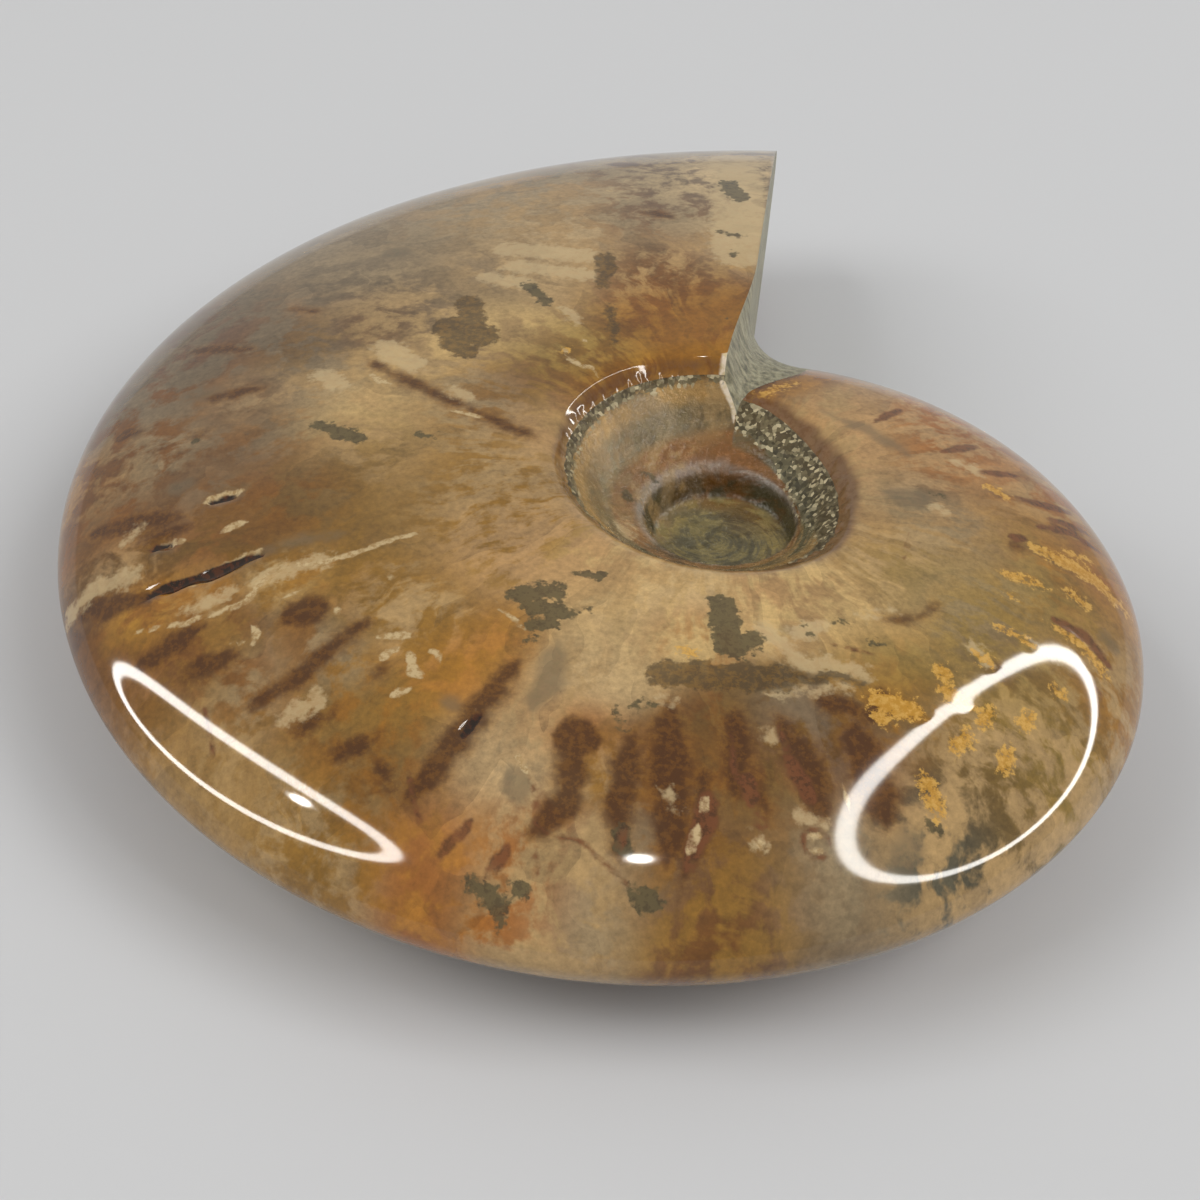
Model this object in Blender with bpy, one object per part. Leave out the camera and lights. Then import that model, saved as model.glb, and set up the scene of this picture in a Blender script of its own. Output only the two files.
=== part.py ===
"""A polished fossil ammonite lying on its side, in metres, +Z up.

The shell is one coil, symmetric about its median plane. The coil angle phi is measured back from the
aperture, in radians, once round the outer whorl, from 0 to a full turn. In plan the coil runs
anticlockwise from the aperture and shrinks as it goes. Inside it is the umbilicus, a stepped hollow
with the inner whorls' wall and a floor of hardened sediment.
"""

import math

import bmesh
import bpy
from mathutils import Euler, Vector

TAU = math.tau
MM = 0.001

# The coil: sizes at the aperture, and the natural log of how far each grows in one turn
VENTER_RADIUS = 62.0 * MM  # coil axis to the outer edge
HALF_THICKNESS = 10.3 * MM  # median plane to the flank
FLANK_RADIUS = 13.0 * MM  # coil axis to where the flank begins to fall away
VENTER_GROWTH = 0.985
THICKNESS_GROWTH = 0.334
FLANK_GROWTH = 0.558
APERTURE_AZIMUTH = math.radians(83.9)  # where the cut across the whorl stands, from +X

# The flank is a superellipse from its inner radius to the venter
FLANK_POWER = 2.5
VENTER_POWER = 0.58

# The umbilical wall at each eighth of the outer turn, back from the aperture, in mm
RIM_RADII = [11.3, 11.9, 11.5, 10.7, 10.0, 9.4, 8.0, 8.6, 11.4]
RIM_HEIGHTS = [9.2, 8.8, 8.4, 8.0, 7.7, 7.4, 7.0, 6.6, 6.9]
SEAM_RADII = [9.7, 9.2, 8.7, 7.9, 7.1, 6.4, 5.6, 6.1, 8.0]
BURIED_SLOPE = 3.0  # the wall's foot, where it goes down behind the inner whorl

# The inner whorl in the umbilicus: its shoulder is a circle, a little off the coil axis
SHOULDER_RADIUS = 5.5 * MM
SHOULDER_SHIFT = 0.25 * MM
SHOULDER_SHIFT_AZIMUTH = math.radians(140)
SHOULDER_HEIGHT = 4.45 * MM
INNER_TILT = 0.46  # rise of the inner whorl's flank away from its shoulder
INNER_TILT_CHANGE = 0.19  # less on the side where the outer whorl climbs over it
INNER_TILT_AZIMUTH = math.radians(174)
FLOOR_RADIUS = 4.85 * MM
FLOOR_HEIGHT = 2.6 * MM
FLOOR_SAG = 0.3 * MM

# How far the creases and edges are rounded
RIM_SOFTNESS = 0.8 * MM
CREASE_SOFTNESS = 0.35 * MM

# The aperture face, and the fillet of stone at its foot on the whorl before it
FILLET_LENGTH = 6.0 * MM  # along the earlier whorl, at its venter
FILLET_HEIGHT = 6.5 * MM  # up the aperture face
LARGEST_FILLET = 0.7  # and no more than this share of the face's height
FILLET_RISE = 2.2  # how soon the fillet reaches its length on the way out from the seam
EDGE_SETBACK = 1.2 * MM  # the aperture's edge stands back at the umbilical rim
SETBACK_SPAN = 0.3  # share of the flank that the setback fades over

# How it lies: the coil axis leans, because the shell is thickest at the aperture
REST_LEAN_X = math.radians(1.47)
REST_LEAN_Y = math.radians(-1.83)
GROUND_DEPTH = 0.22 * MM  # ground away under the lowest places of the lower flank

# How finely it is faceted
ROWS = 84
FLANK_STATIONS = 10
BOWL_SHARES = [0.45, 0.94]  # shares of the floor's radius
LEDGE_SHARES = [1 / 3, 2 / 3]  # from the inner whorl's shoulder to the seam
RIM_STEPS = [0.7 * MM, 1.8 * MM]  # out over the rim
FACE_SHARES = [0.34, 0.67, 1.0]  # down the straight part of the aperture face
FILLET_SHARES = [0.3, 0.6, 0.85]


def soft_min(a, b, softness):
    """The lower of two heights, with the corner between them rounded."""
    blend = max(0.0, softness - abs(a - b)) / softness
    return min(a, b) - blend * blend * softness / 4


def soft_max(a, b, softness):
    return -soft_min(-a, -b, softness)


def smooth_step(x):
    x = min(1.0, max(0.0, x))
    return x * x * (3 - 2 * x)


def at_eighths(values, phi):
    """Reads a list given at each eighth of the outer turn, with a smooth curve through its values."""
    place = min(max(phi / TAU, 0.0), 0.999999) * (len(values) - 1)
    k = int(place)
    t = place - k
    before = values[k - 1] if k > 0 else 2 * values[0] - values[1]
    after = values[k + 2] if k + 2 < len(values) else 2 * values[-1] - values[-2]
    start, end = values[k], values[k + 1]
    rise_a, rise_b = (end - before) / 2, (after - start) / 2
    bend = (2 * t**3 - 3 * t**2 + 1) * start + (3 * t**2 - 2 * t**3) * end
    return (bend + (t**3 - 2 * t**2 + t) * rise_a + (t**3 - t**2) * rise_b) * MM


def venter_radius(phi):
    return VENTER_RADIUS * math.exp(-VENTER_GROWTH * phi / TAU)


def flank_radius(phi):
    return FLANK_RADIUS * math.exp(-FLANK_GROWTH * phi / TAU)


def half_thickness(phi):
    return HALF_THICKNESS * math.exp(-THICKNESS_GROWTH * phi / TAU)


def rim_radius(phi):
    return at_eighths(RIM_RADII, phi)


def seam_radius(phi):
    """Where the umbilical wall meets the inner whorl."""
    return at_eighths(SEAM_RADII, phi)


def shoulder_radius(phi):
    azimuth = APERTURE_AZIMUTH + phi
    return SHOULDER_RADIUS + SHOULDER_SHIFT * math.cos(azimuth - SHOULDER_SHIFT_AZIMUTH)


def flank_height(r, phi):
    start, venter = flank_radius(phi), venter_radius(phi)
    u = min(1.0, max(0.0, (r - start) / (venter - start)))
    return half_thickness(phi) * (1 - u**FLANK_POWER) ** VENTER_POWER


def ledge_height(r, phi):
    """The inner whorl's flank, outside its shoulder."""
    azimuth = APERTURE_AZIMUTH + phi
    tilt = INNER_TILT - INNER_TILT_CHANGE * math.cos(azimuth - INNER_TILT_AZIMUTH)
    return SHOULDER_HEIGHT + (r - shoulder_radius(phi)) * tilt


def bowl_height(r, phi):
    """The floor of sediment, the inner whorl's wall and its flank."""
    floor = FLOOR_HEIGHT - FLOOR_SAG * (1 - (r / FLOOR_RADIUS) ** 2)
    wall_slope = (SHOULDER_HEIGHT - FLOOR_HEIGHT) / (shoulder_radius(phi) - FLOOR_RADIUS)
    wall = FLOOR_HEIGHT + (r - FLOOR_RADIUS) * wall_slope
    return soft_max(floor, soft_min(wall, ledge_height(r, phi), CREASE_SOFTNESS), CREASE_SOFTNESS)


def top_height(r, phi):
    """Height of the upper face over the median plane."""
    rim, seam = rim_radius(phi), seam_radius(phi)
    seam_height = ledge_height(seam, phi)
    rise = (at_eighths(RIM_HEIGHTS, phi) - seam_height) / (rim - seam)
    slope = rise if r > seam else BURIED_SLOPE
    umbilical_wall = seam_height + (r - seam) * slope
    inside = soft_max(bowl_height(r, phi), umbilical_wall, CREASE_SOFTNESS)
    return soft_min(inside, flank_height(r, phi), RIM_SOFTNESS)


def coil_point(r, phi, side):
    """A point of the coil, side 1 above the median plane and -1 below it."""
    azimuth = APERTURE_AZIMUTH + phi
    height = 0.0 if r >= venter_radius(phi) else top_height(r, phi)
    return Vector((r * math.cos(azimuth), r * math.sin(azimuth), side * height))


def bowl_radii(phi):
    """Stations from the middle of the umbilicus out to the seam."""
    shoulder, seam = shoulder_radius(phi), seam_radius(phi)
    floor = [FLOOR_RADIUS * share for share in BOWL_SHARES]
    ledge = [shoulder + (seam - shoulder) * share for share in LEDGE_SHARES]
    return [*floor, FLOOR_RADIUS, shoulder, *ledge, seam]


def whorl_radii(phi):
    """Stations from the umbilical wall out to the venter, closer together where the flank turns over."""
    seam, rim = seam_radius(phi), rim_radius(phi)
    start, venter = flank_radius(phi), venter_radius(phi)
    wall = [(seam + rim) / 2, rim, *(rim + step for step in RIM_STEPS)]
    first = max(0.0, (rim + 2 * RIM_STEPS[-1] - start) / (venter - start))
    first_angle = math.acos(first ** (FLANK_POWER / 2))
    angles = [first_angle * (1 - k / FLANK_STATIONS) for k in range(FLANK_STATIONS)]
    flank = [start + (venter - start) * math.cos(angle) ** (2 / FLANK_POWER) for angle in angles]
    return [*wall, *flank, venter]


def edge_setback(r):
    """Coil angle of the aperture's edge, which curves back at the umbilical rim."""
    flank = (r - rim_radius(0)) / (VENTER_RADIUS - rim_radius(0))
    wall = (r - seam_radius(0)) / (rim_radius(0) - seam_radius(0))
    share = smooth_step(wall) * (1 - smooth_step(flank / SETBACK_SPAN))
    return EDGE_SETBACK * share / r


def fillet_setback(station, count):
    """Coil angle that the fillet takes up on the earlier whorl, for a station counted from the wall."""
    share = smooth_step(FILLET_RISE * station / count)
    return FILLET_LENGTH / venter_radius(TAU) * share


def whorl_row(mesh, share, side):
    """A radial row of vertices on the outer whorl; its ends follow the aperture's edge and the fillet."""
    first, last = whorl_radii(0), len(whorl_radii(0)) - 1
    row = []
    for station, r in enumerate(first):
        begin = edge_setback(r)
        end = TAU - fillet_setback(station, last)
        phi = begin + (end - begin) * share
        row.append(mesh.verts.new(coil_point(whorl_radii(phi)[station], phi, side)))
    return row


def lengths_along(points):
    """Length of a polyline up to each of its points."""
    lengths = [0.0]
    for a, b in zip(points, points[1:]):
        lengths.append(lengths[-1] + (b - a).length)
    return lengths


def read_at(points, share):
    """The point at a share of a polyline's length."""
    lengths = lengths_along(points)
    place = share * lengths[-1]
    k = next(n for n in range(1, len(lengths)) if lengths[n] >= place or n == len(lengths) - 1)
    return points[k - 1].lerp(points[k], (place - lengths[k - 1]) / (lengths[k] - lengths[k - 1]))


def add_quads(mesh, first, second):
    for a, b, c, d in zip(first, first[1:], second[1:], second):
        mesh.faces.new((a, b, c, d))


def zip_rows(mesh, first, second):
    """Triangles between two rows of vertices that start and end at the same places."""
    lengths_a = lengths_along([v.co for v in first])
    lengths_b = lengths_along([v.co for v in second])
    i = j = 0
    while i < len(first) - 1 or j < len(second) - 1:
        share_a = lengths_a[i + 1] / lengths_a[-1] if i < len(first) - 1 else math.inf
        share_b = lengths_b[j + 1] / lengths_b[-1] if j < len(second) - 1 else math.inf
        corners = [first[i], second[j], first[i + 1] if share_a <= share_b else second[j + 1]]
        if len(set(corners)) == 3:
            mesh.faces.new(corners)
        i, j = (i + 1, j) if share_a <= share_b else (i, j + 1)


def add_half(mesh, venter, side):
    """One side of the coil. Gives the aperture's edge and the foot of its face, from the seam outwards."""
    shares = [k / ROWS for k in range(ROWS + 1)]
    whorls = [[*whorl_row(mesh, share, side)[:-1], rim] for share, rim in zip(shares, venter)]
    bowls = [[mesh.verts.new(coil_point(r, TAU * share, side)) for r in bowl_radii(TAU * share)]
             for share in shares[1:]]
    centre = mesh.verts.new((0, 0, side * (FLOOR_HEIGHT - FLOOR_SAG)))
    # The first row meets the last one, a turn further in, out to its own seam.
    meeting = [*bowls[-1], whorls[-1][0]]
    zip_rows(mesh, [centre, *meeting], [centre, *bowls[0]])
    add_quads(mesh, [meeting[-1], *whorls[0]], [bowls[0][-1], *whorls[1]])
    for k in range(1, ROWS):
        mesh.faces.new((centre, bowls[k - 1][0], bowls[k][0]))
        add_quads(mesh, [*bowls[k - 1], *whorls[k]], [*bowls[k], *whorls[k + 1]])
    return [meeting[-1], *whorls[0]], whorls[-1]


def add_aperture_face(mesh, edge, foot):
    """The cut across the whorl: straight down from its edge, then out in the fillet to its foot."""
    corner_line = []
    count = len(whorl_radii(TAU)) - 1
    for k in range(len(foot)):
        station = min(k, len(foot) - 1 - k)
        corner_line.append(coil_point(whorl_radii(TAU)[min(station, count)], TAU, 1 if k <= count else -1))
    lengths = lengths_along([v.co for v in edge])
    paths = []
    for vertex, length in zip(edge, lengths):
        corner = read_at(corner_line, length / lengths[-1])
        reach = vertex.co - corner
        bend = corner + reach * min(LARGEST_FILLET, FILLET_HEIGHT / max(reach.length, MM / 1000))
        end = read_at([v.co for v in foot], length / lengths[-1])
        straight = [vertex.co.lerp(bend, share) for share in FACE_SHARES]
        curved = [bend.lerp(corner, share).lerp(corner.lerp(end, share), share) for share in FILLET_SHARES]
        paths.append([*straight, *curved])
    last = edge
    for layer in range(len(FACE_SHARES) + len(FILLET_SHARES)):
        middle = [mesh.verts.new(path[layer]) for path in paths[1:-1]]
        row = [edge[0], *middle, edge[-1]]
        zip_rows(mesh, last, row)
        last = row
    zip_rows(mesh, last, foot)


def build_ammonite(mesh):
    last = len(whorl_radii(0)) - 1
    end = TAU - fillet_setback(last, last)
    venter = [mesh.verts.new(coil_point(venter_radius(end * k / ROWS), end * k / ROWS, 1))
              for k in range(ROWS + 1)]
    upper_edge, upper_foot = add_half(mesh, venter, 1)
    lower_edge, lower_foot = add_half(mesh, venter, -1)
    edge = [*upper_edge, *lower_edge[-2::-1]]
    foot = [*upper_foot, *lower_foot[-2::-1]]
    add_aperture_face(mesh, edge, foot)
    bmesh.ops.delete(mesh, geom=[v for v in mesh.verts if not v.link_faces], context="VERTS")
    bmesh.ops.remove_doubles(mesh, verts=mesh.verts, dist=MM / 1000)
    bmesh.ops.recalc_face_normals(mesh, faces=mesh.faces)


def polished_stone():
    """Brown calcite and shell, cut smooth and polished."""
    material = bpy.data.materials.new("polished_stone")
    material.use_nodes = True
    shader = material.node_tree.nodes["Principled BSDF"]
    shader.inputs["Base Color"].default_value = (0.23, 0.13, 0.055, 1)
    shader.inputs["Roughness"].default_value = 0.12
    shader.inputs["Metallic"].default_value = 0.0
    return material


def lay_down(obj):
    """Leans the coil to rest, centres its plan on the origin and drops it a little into the ground."""
    obj.rotation_euler = Euler((REST_LEAN_X, REST_LEAN_Y, 0), "XYZ")
    turn = obj.rotation_euler.to_matrix()
    points = [turn @ v.co for v in obj.data.vertices]
    low = [min(p[axis] for p in points) for axis in range(3)]
    high = [max(p[axis] for p in points) for axis in range(3)]
    obj.location = (-(low[0] + high[0]) / 2, -(low[1] + high[1]) / 2, -low[2] - GROUND_DEPTH)


def ground_block():
    """A block whose top face is the ground, to grind the small flats that the fossil rests on."""
    depth = 4 * HALF_THICKNESS
    bpy.ops.mesh.primitive_cube_add(size=1, location=(0, 0, -depth / 2))
    block = bpy.context.object
    block.name = "ground_block"
    block.scale = (4 * VENTER_RADIUS, 4 * VENTER_RADIUS, depth)
    bpy.ops.object.transform_apply(location=False, rotation=False, scale=True)
    block.hide_render = True
    block.display_type = "WIRE"
    return block


def new_collection(name):
    collection = bpy.data.collections.new(name)
    bpy.context.scene.collection.children.link(collection)
    return collection


def main():
    for obj in list(bpy.data.objects):
        bpy.data.objects.remove(obj)
    fossil = new_collection("fossil_ammonite")
    cutters = new_collection("cutters")

    mesh = bmesh.new()
    build_ammonite(mesh)
    data = bpy.data.meshes.new("ammonite")
    mesh.to_mesh(data)
    mesh.free()
    data.shade_smooth()
    data.set_sharp_from_angle(angle=math.radians(40))
    data.materials.append(polished_stone())
    ammonite = bpy.data.objects.new("ammonite", data)
    fossil.objects.link(ammonite)
    lay_down(ammonite)

    block = ground_block()
    for collection in block.users_collection:
        collection.objects.unlink(block)
    cutters.objects.link(block)
    grind = ammonite.modifiers.new("ground_flat", "BOOLEAN")
    grind.operation = "DIFFERENCE"
    grind.solver = "EXACT"
    grind.object = block


main()
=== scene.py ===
"""The looks of a polished fossil ammonite: its fine surface, its stones, the floor, the light and the camera.

Lengths are in millimetres in the coil's own frame, until the mesh is laid down in the row frame in metres.
The coil angle phi is measured back from the aperture, in radians, as in the solid that this surface replaces.
"""
import math

import bmesh
import bpy
import numpy as np
from mathutils import Euler, Matrix, Vector, noise


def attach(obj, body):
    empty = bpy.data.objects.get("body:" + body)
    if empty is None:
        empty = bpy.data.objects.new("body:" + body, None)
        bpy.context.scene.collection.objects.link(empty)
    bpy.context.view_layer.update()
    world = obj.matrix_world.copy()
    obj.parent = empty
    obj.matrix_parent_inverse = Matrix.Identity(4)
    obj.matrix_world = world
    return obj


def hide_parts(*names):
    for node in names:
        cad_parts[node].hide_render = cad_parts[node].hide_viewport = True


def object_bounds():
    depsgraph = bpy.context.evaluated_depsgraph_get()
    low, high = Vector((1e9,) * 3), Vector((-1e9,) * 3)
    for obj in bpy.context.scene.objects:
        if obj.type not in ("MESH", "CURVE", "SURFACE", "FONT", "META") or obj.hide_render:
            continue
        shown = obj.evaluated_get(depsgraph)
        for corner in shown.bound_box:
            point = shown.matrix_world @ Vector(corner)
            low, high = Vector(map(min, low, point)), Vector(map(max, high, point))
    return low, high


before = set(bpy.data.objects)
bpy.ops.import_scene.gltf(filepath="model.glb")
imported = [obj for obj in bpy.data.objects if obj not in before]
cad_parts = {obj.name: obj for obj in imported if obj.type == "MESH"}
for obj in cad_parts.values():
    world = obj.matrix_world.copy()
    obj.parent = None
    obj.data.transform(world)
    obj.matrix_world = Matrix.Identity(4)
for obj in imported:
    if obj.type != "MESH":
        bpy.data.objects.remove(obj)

CAD_LOW, CAD_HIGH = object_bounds()
TAU = math.tau
MM = 0.001

# The coil, as in the solid
VENTER_RADIUS = 62.0
HALF_THICKNESS = 10.3
FLANK_RADIUS = 13.0
VENTER_GROWTH = 0.985
THICKNESS_GROWTH = 0.334
FLANK_GROWTH = 0.558
APERTURE_AZIMUTH = math.radians(83.9)
FLANK_POWER = 2.5
VENTER_POWER = 0.58

# The umbilical wall at each eighth of the outer turn, back from the aperture
RIM_RADII = [11.3, 11.9, 11.5, 10.7, 10.0, 9.4, 8.0, 8.6, 11.4]
RIM_HEIGHTS = [9.2, 8.8, 8.4, 8.0, 7.7, 7.4, 7.0, 6.6, 6.9]
SEAM_RADII = [9.7, 9.2, 8.7, 7.9, 7.1, 6.4, 5.6, 6.1, 8.0]
BURIED_SLOPE = 3.0  # how steeply it goes on down inside the earlier whorl

# The inner whorl and the floor of the umbilicus
SHOULDER_RADIUS = 5.5
SHOULDER_SHIFT = 0.25
SHOULDER_SHIFT_AZIMUTH = math.radians(140)
SHOULDER_HEIGHT = 4.45
INNER_TILT = 0.46
INNER_TILT_CHANGE = 0.19
INNER_TILT_AZIMUTH = math.radians(174)
FLOOR_RADIUS = 4.85
FLOOR_HEIGHT = 2.6
FLOOR_SAG = 0.3
RIM_SOFTNESS = 0.6
CREASE_SOFTNESS = 0.35

# The aperture face and the stone fillet at its foot
FILLET_LENGTH = 6.0
FILLET_HEIGHT = 6.5
LARGEST_FILLET = 0.7
FILLET_SPREAD = 8.4  # out from the seam, before the fillet has its full length
EDGE_SETBACK = 1.2
SETBACK_SPAN = 0.3

# How it lies
REST_LEAN = Euler((math.radians(1.47), math.radians(-1.83), 0), "XYZ")
GROUND_DEPTH = 0.22

# How finely the surface is meshed
ROWS = 400
FLOOR_COLUMNS = 14
INNER_WALL_COLUMNS = 5
LEDGE_COLUMNS = 10
WALL_COLUMNS = 10
MEETING_COLUMN = 5  # the wall column of the last row that the aperture's edge starts from
RIM_COLUMNS = 7
RIM_INSIDE = 0.5  # the rim's own columns start this far inside it
RIM_OUTSIDE = 0.9
UPPER_FLANK_COLUMNS = 96
LOWER_FLANK_COLUMNS = 42
FACE_LAYERS = 18
FILLET_LAYERS = 10


def smooth_step(x):
    x = np.clip(x, 0.0, 1.0)
    return x * x * (3 - 2 * x)


def soft_min(a, b, softness):
    blend = np.clip(softness - np.abs(a - b), 0.0, None) / softness
    return np.minimum(a, b) - blend * blend * softness / 4


def soft_max(a, b, softness):
    return -soft_min(-a, -b, softness)


def at_eighths(values, phi):
    """Reads a list given at each eighth of the outer turn, with a smooth curve through its values."""
    known = np.array([2 * values[0] - values[1], *values, 2 * values[-1] - values[-2]])
    place = np.clip(phi / TAU, 0.0, 0.999999) * (len(values) - 1)
    k = place.astype(int)
    t = place - k
    before, start, end, after = known[k], known[k + 1], known[k + 2], known[k + 3]
    rise_a, rise_b = (end - before) / 2, (after - start) / 2
    bend = (2 * t**3 - 3 * t**2 + 1) * start + (3 * t**2 - 2 * t**3) * end
    return bend + (t**3 - 2 * t**2 + t) * rise_a + (t**3 - t**2) * rise_b


def venter_radius(phi):
    return VENTER_RADIUS * np.exp(-VENTER_GROWTH * phi / TAU)


def flank_radius(phi):
    return FLANK_RADIUS * np.exp(-FLANK_GROWTH * phi / TAU)


def half_thickness(phi):
    return HALF_THICKNESS * np.exp(-THICKNESS_GROWTH * phi / TAU)


def shoulder_radius(phi):
    return SHOULDER_RADIUS + SHOULDER_SHIFT * np.cos(APERTURE_AZIMUTH + phi - SHOULDER_SHIFT_AZIMUTH)


def flank_height(r, phi):
    start, venter = flank_radius(phi), venter_radius(phi)
    u = np.clip((r - start) / (venter - start), 0.0, 1.0)
    return half_thickness(phi) * (1 - u**FLANK_POWER) ** VENTER_POWER


def ledge_height(r, phi):
    tilt = INNER_TILT - INNER_TILT_CHANGE * np.cos(APERTURE_AZIMUTH + phi - INNER_TILT_AZIMUTH)
    return SHOULDER_HEIGHT + (r - shoulder_radius(phi)) * tilt


def bowl_height(r, phi):
    floor = FLOOR_HEIGHT - FLOOR_SAG * (1 - (r / FLOOR_RADIUS) ** 2)
    wall_slope = (SHOULDER_HEIGHT - FLOOR_HEIGHT) / (shoulder_radius(phi) - FLOOR_RADIUS)
    wall = FLOOR_HEIGHT + (r - FLOOR_RADIUS) * wall_slope
    return soft_max(floor, soft_min(wall, ledge_height(r, phi), CREASE_SOFTNESS), CREASE_SOFTNESS)


def top_height(r, phi):
    """Height of the upper face over the median plane."""
    rim, seam = at_eighths(RIM_RADII, phi), at_eighths(SEAM_RADII, phi)
    seam_height = ledge_height(seam, phi)
    rise = (at_eighths(RIM_HEIGHTS, phi) - seam_height) / (rim - seam)
    slope = np.where(r > seam, rise, BURIED_SLOPE)
    umbilical_wall = seam_height + (r - seam) * slope
    inside = soft_max(bowl_height(r, phi), umbilical_wall, CREASE_SOFTNESS)
    return soft_min(inside, flank_height(r, phi), RIM_SOFTNESS)


def coil_points(r, phi, side):
    r, phi = np.broadcast_arrays(r, phi)
    azimuth = APERTURE_AZIMUTH + phi
    height = np.where(r >= venter_radius(phi) - 1e-9, 0.0, top_height(r, phi))
    return np.stack([r * np.cos(azimuth), r * np.sin(azimuth), side * height], axis=-1)


def bowl_radii(phi):
    """Columns from the middle of the umbilicus out to the seam, for a column array of coil angles."""
    shoulder, seam = shoulder_radius(phi), at_eighths(SEAM_RADII, phi)
    floor = FLOOR_RADIUS * np.arange(1, FLOOR_COLUMNS + 1) / FLOOR_COLUMNS + 0 * phi
    inner_wall = np.arange(1, INNER_WALL_COLUMNS + 1) / INNER_WALL_COLUMNS
    ledge = np.arange(1, LEDGE_COLUMNS + 1) / LEDGE_COLUMNS
    return np.concatenate([
        floor,
        FLOOR_RADIUS + (shoulder - FLOOR_RADIUS) * inner_wall,
        shoulder + (seam - shoulder) * ledge,
    ], axis=1)


def whorl_radii(phi, flank_columns):
    """Columns up the umbilical wall, over its rim and out over the flank; phi has a value for each column."""
    seam, rim = at_eighths(SEAM_RADII, phi), at_eighths(RIM_RADII, phi)
    start, venter = flank_radius(phi), venter_radius(phi)
    column = np.arange(WALL_COLUMNS + RIM_COLUMNS + flank_columns)
    wall_share = (column + 1) / WALL_COLUMNS
    rim_share = (column + 1 - WALL_COLUMNS) / RIM_COLUMNS
    flank_share = (column + 1 - WALL_COLUMNS - RIM_COLUMNS) / (flank_columns + 1)
    wall = seam + (rim - RIM_INSIDE - seam) * wall_share
    over_rim = rim - RIM_INSIDE + (RIM_INSIDE + RIM_OUTSIDE) * rim_share
    first = np.clip((rim + RIM_OUTSIDE - start) / (venter - start), 0.0, 1.0)
    angle = np.arccos(first ** (FLANK_POWER / 2)) * (1 - flank_share)
    flank = start + (venter - start) * np.clip(np.cos(angle), 0.0, 1.0) ** (2 / FLANK_POWER)
    return np.where(wall_share <= 1, wall, np.where(rim_share <= 1, over_rim, flank))


def row_shares():
    """Shares of the turn for the rows, so that they are equally far apart along the venter."""
    steps = np.arange(ROWS + 1) / ROWS
    return -np.log(1 - steps * (1 - math.exp(-VENTER_GROWTH))) / VENTER_GROWTH


def edge_setback(r):
    """Coil angle of the aperture's edge, which curves back at the umbilical rim."""
    rim, seam = RIM_RADII[0], SEAM_RADII[0]
    wall = smooth_step((r - seam) / (rim - seam))
    return EDGE_SETBACK * wall * (1 - smooth_step((r - rim) / (VENTER_RADIUS - rim) / SETBACK_SPAN)) / r


def fillet_setback(r):
    """Coil angle that the fillet takes up on the earlier whorl, for radii in the last row."""
    return FILLET_LENGTH / venter_radius(TAU) * smooth_step((r - SEAM_RADII[0]) / FILLET_SPREAD)


class Surface:
    """The points, coil angles and faces of the mesh while it is put together."""

    def __init__(self):
        self.points = []
        self.angles = []
        self.faces = []

    def add_points(self, points, phi):
        start = len(self.points)
        shape = points.shape[:-1]
        self.points.extend(points.reshape(-1, 3))
        self.angles.extend(np.broadcast_to(phi, shape).reshape(-1))
        return np.arange(start, len(self.points)).reshape(shape)

    def add_grid(self, index):
        corners = [index[:-1, :-1], index[:-1, 1:], index[1:, 1:], index[1:, :-1]]
        for face in np.stack(corners, axis=-1).reshape(-1, 4).tolist():
            self.faces.append([c for k, c in enumerate(face) if c != face[k - 1]])

    def shares(self, row):
        """How far along a row of points each of its points is, from 0 to 1."""
        places = np.array([self.points[k] for k in row])
        lengths = np.concatenate([[0.0], np.cumsum(np.linalg.norm(np.diff(places, axis=0), axis=1))])
        return lengths / lengths[-1]

    def zip_rows(self, first, second):
        """Triangles between two rows that start and end at the same places."""
        shares_a, shares_b = self.shares(first), self.shares(second)
        i = j = 0
        while i < len(first) - 1 or j < len(second) - 1:
            next_a = shares_a[i + 1] if i < len(first) - 1 else math.inf
            next_b = shares_b[j + 1] if j < len(second) - 1 else math.inf
            corners = [first[i], second[j], first[i + 1] if next_a <= next_b else second[j + 1]]
            if len(set(corners)) == 3:
                self.faces.append([int(c) for c in corners])
            i, j = (i + 1, j) if next_a <= next_b else (i, j + 1)


def add_side(surface, side, flank_columns, venter):
    """One side of the coil. Gives the aperture's edge and the foot of its face, as rows of point numbers."""
    shares = row_shares()[:, None]
    column_radii = whorl_radii(np.zeros(WALL_COLUMNS + RIM_COLUMNS + flank_columns), flank_columns)
    last_radii = whorl_radii(np.full(len(column_radii), TAU), flank_columns)
    begin = edge_setback(column_radii)
    end = TAU - fillet_setback(last_radii)
    phi = begin + (end - begin) * shares
    whorl = surface.add_points(coil_points(whorl_radii(phi, flank_columns), phi, side), phi)
    whorl = np.column_stack([whorl, venter])
    bowl_phi = TAU * shares[1:]
    bowl = surface.add_points(coil_points(bowl_radii(bowl_phi), bowl_phi, side), bowl_phi)
    middle = np.array([0.0, 0.0, side * (FLOOR_HEIGHT - FLOOR_SAG)])
    centre = int(surface.add_points(middle[None], 0.0)[0])
    meeting = [*bowl[-1], *whorl[-1][:MEETING_COLUMN + 1]]
    surface.zip_rows([centre, *meeting], [centre, *bowl[0]])
    surface.add_grid(np.array([[meeting[-1], *whorl[0]], [bowl[0][-1], *whorl[1]]]))
    surface.add_grid(np.column_stack([bowl, whorl[1:]]))
    for a, b in zip(bowl[:-1, 0], bowl[1:, 0]):
        surface.faces.append([centre, int(a), int(b)])
    return [meeting[-1], *whorl[0]], whorl[-1][MEETING_COLUMN:]


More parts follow.
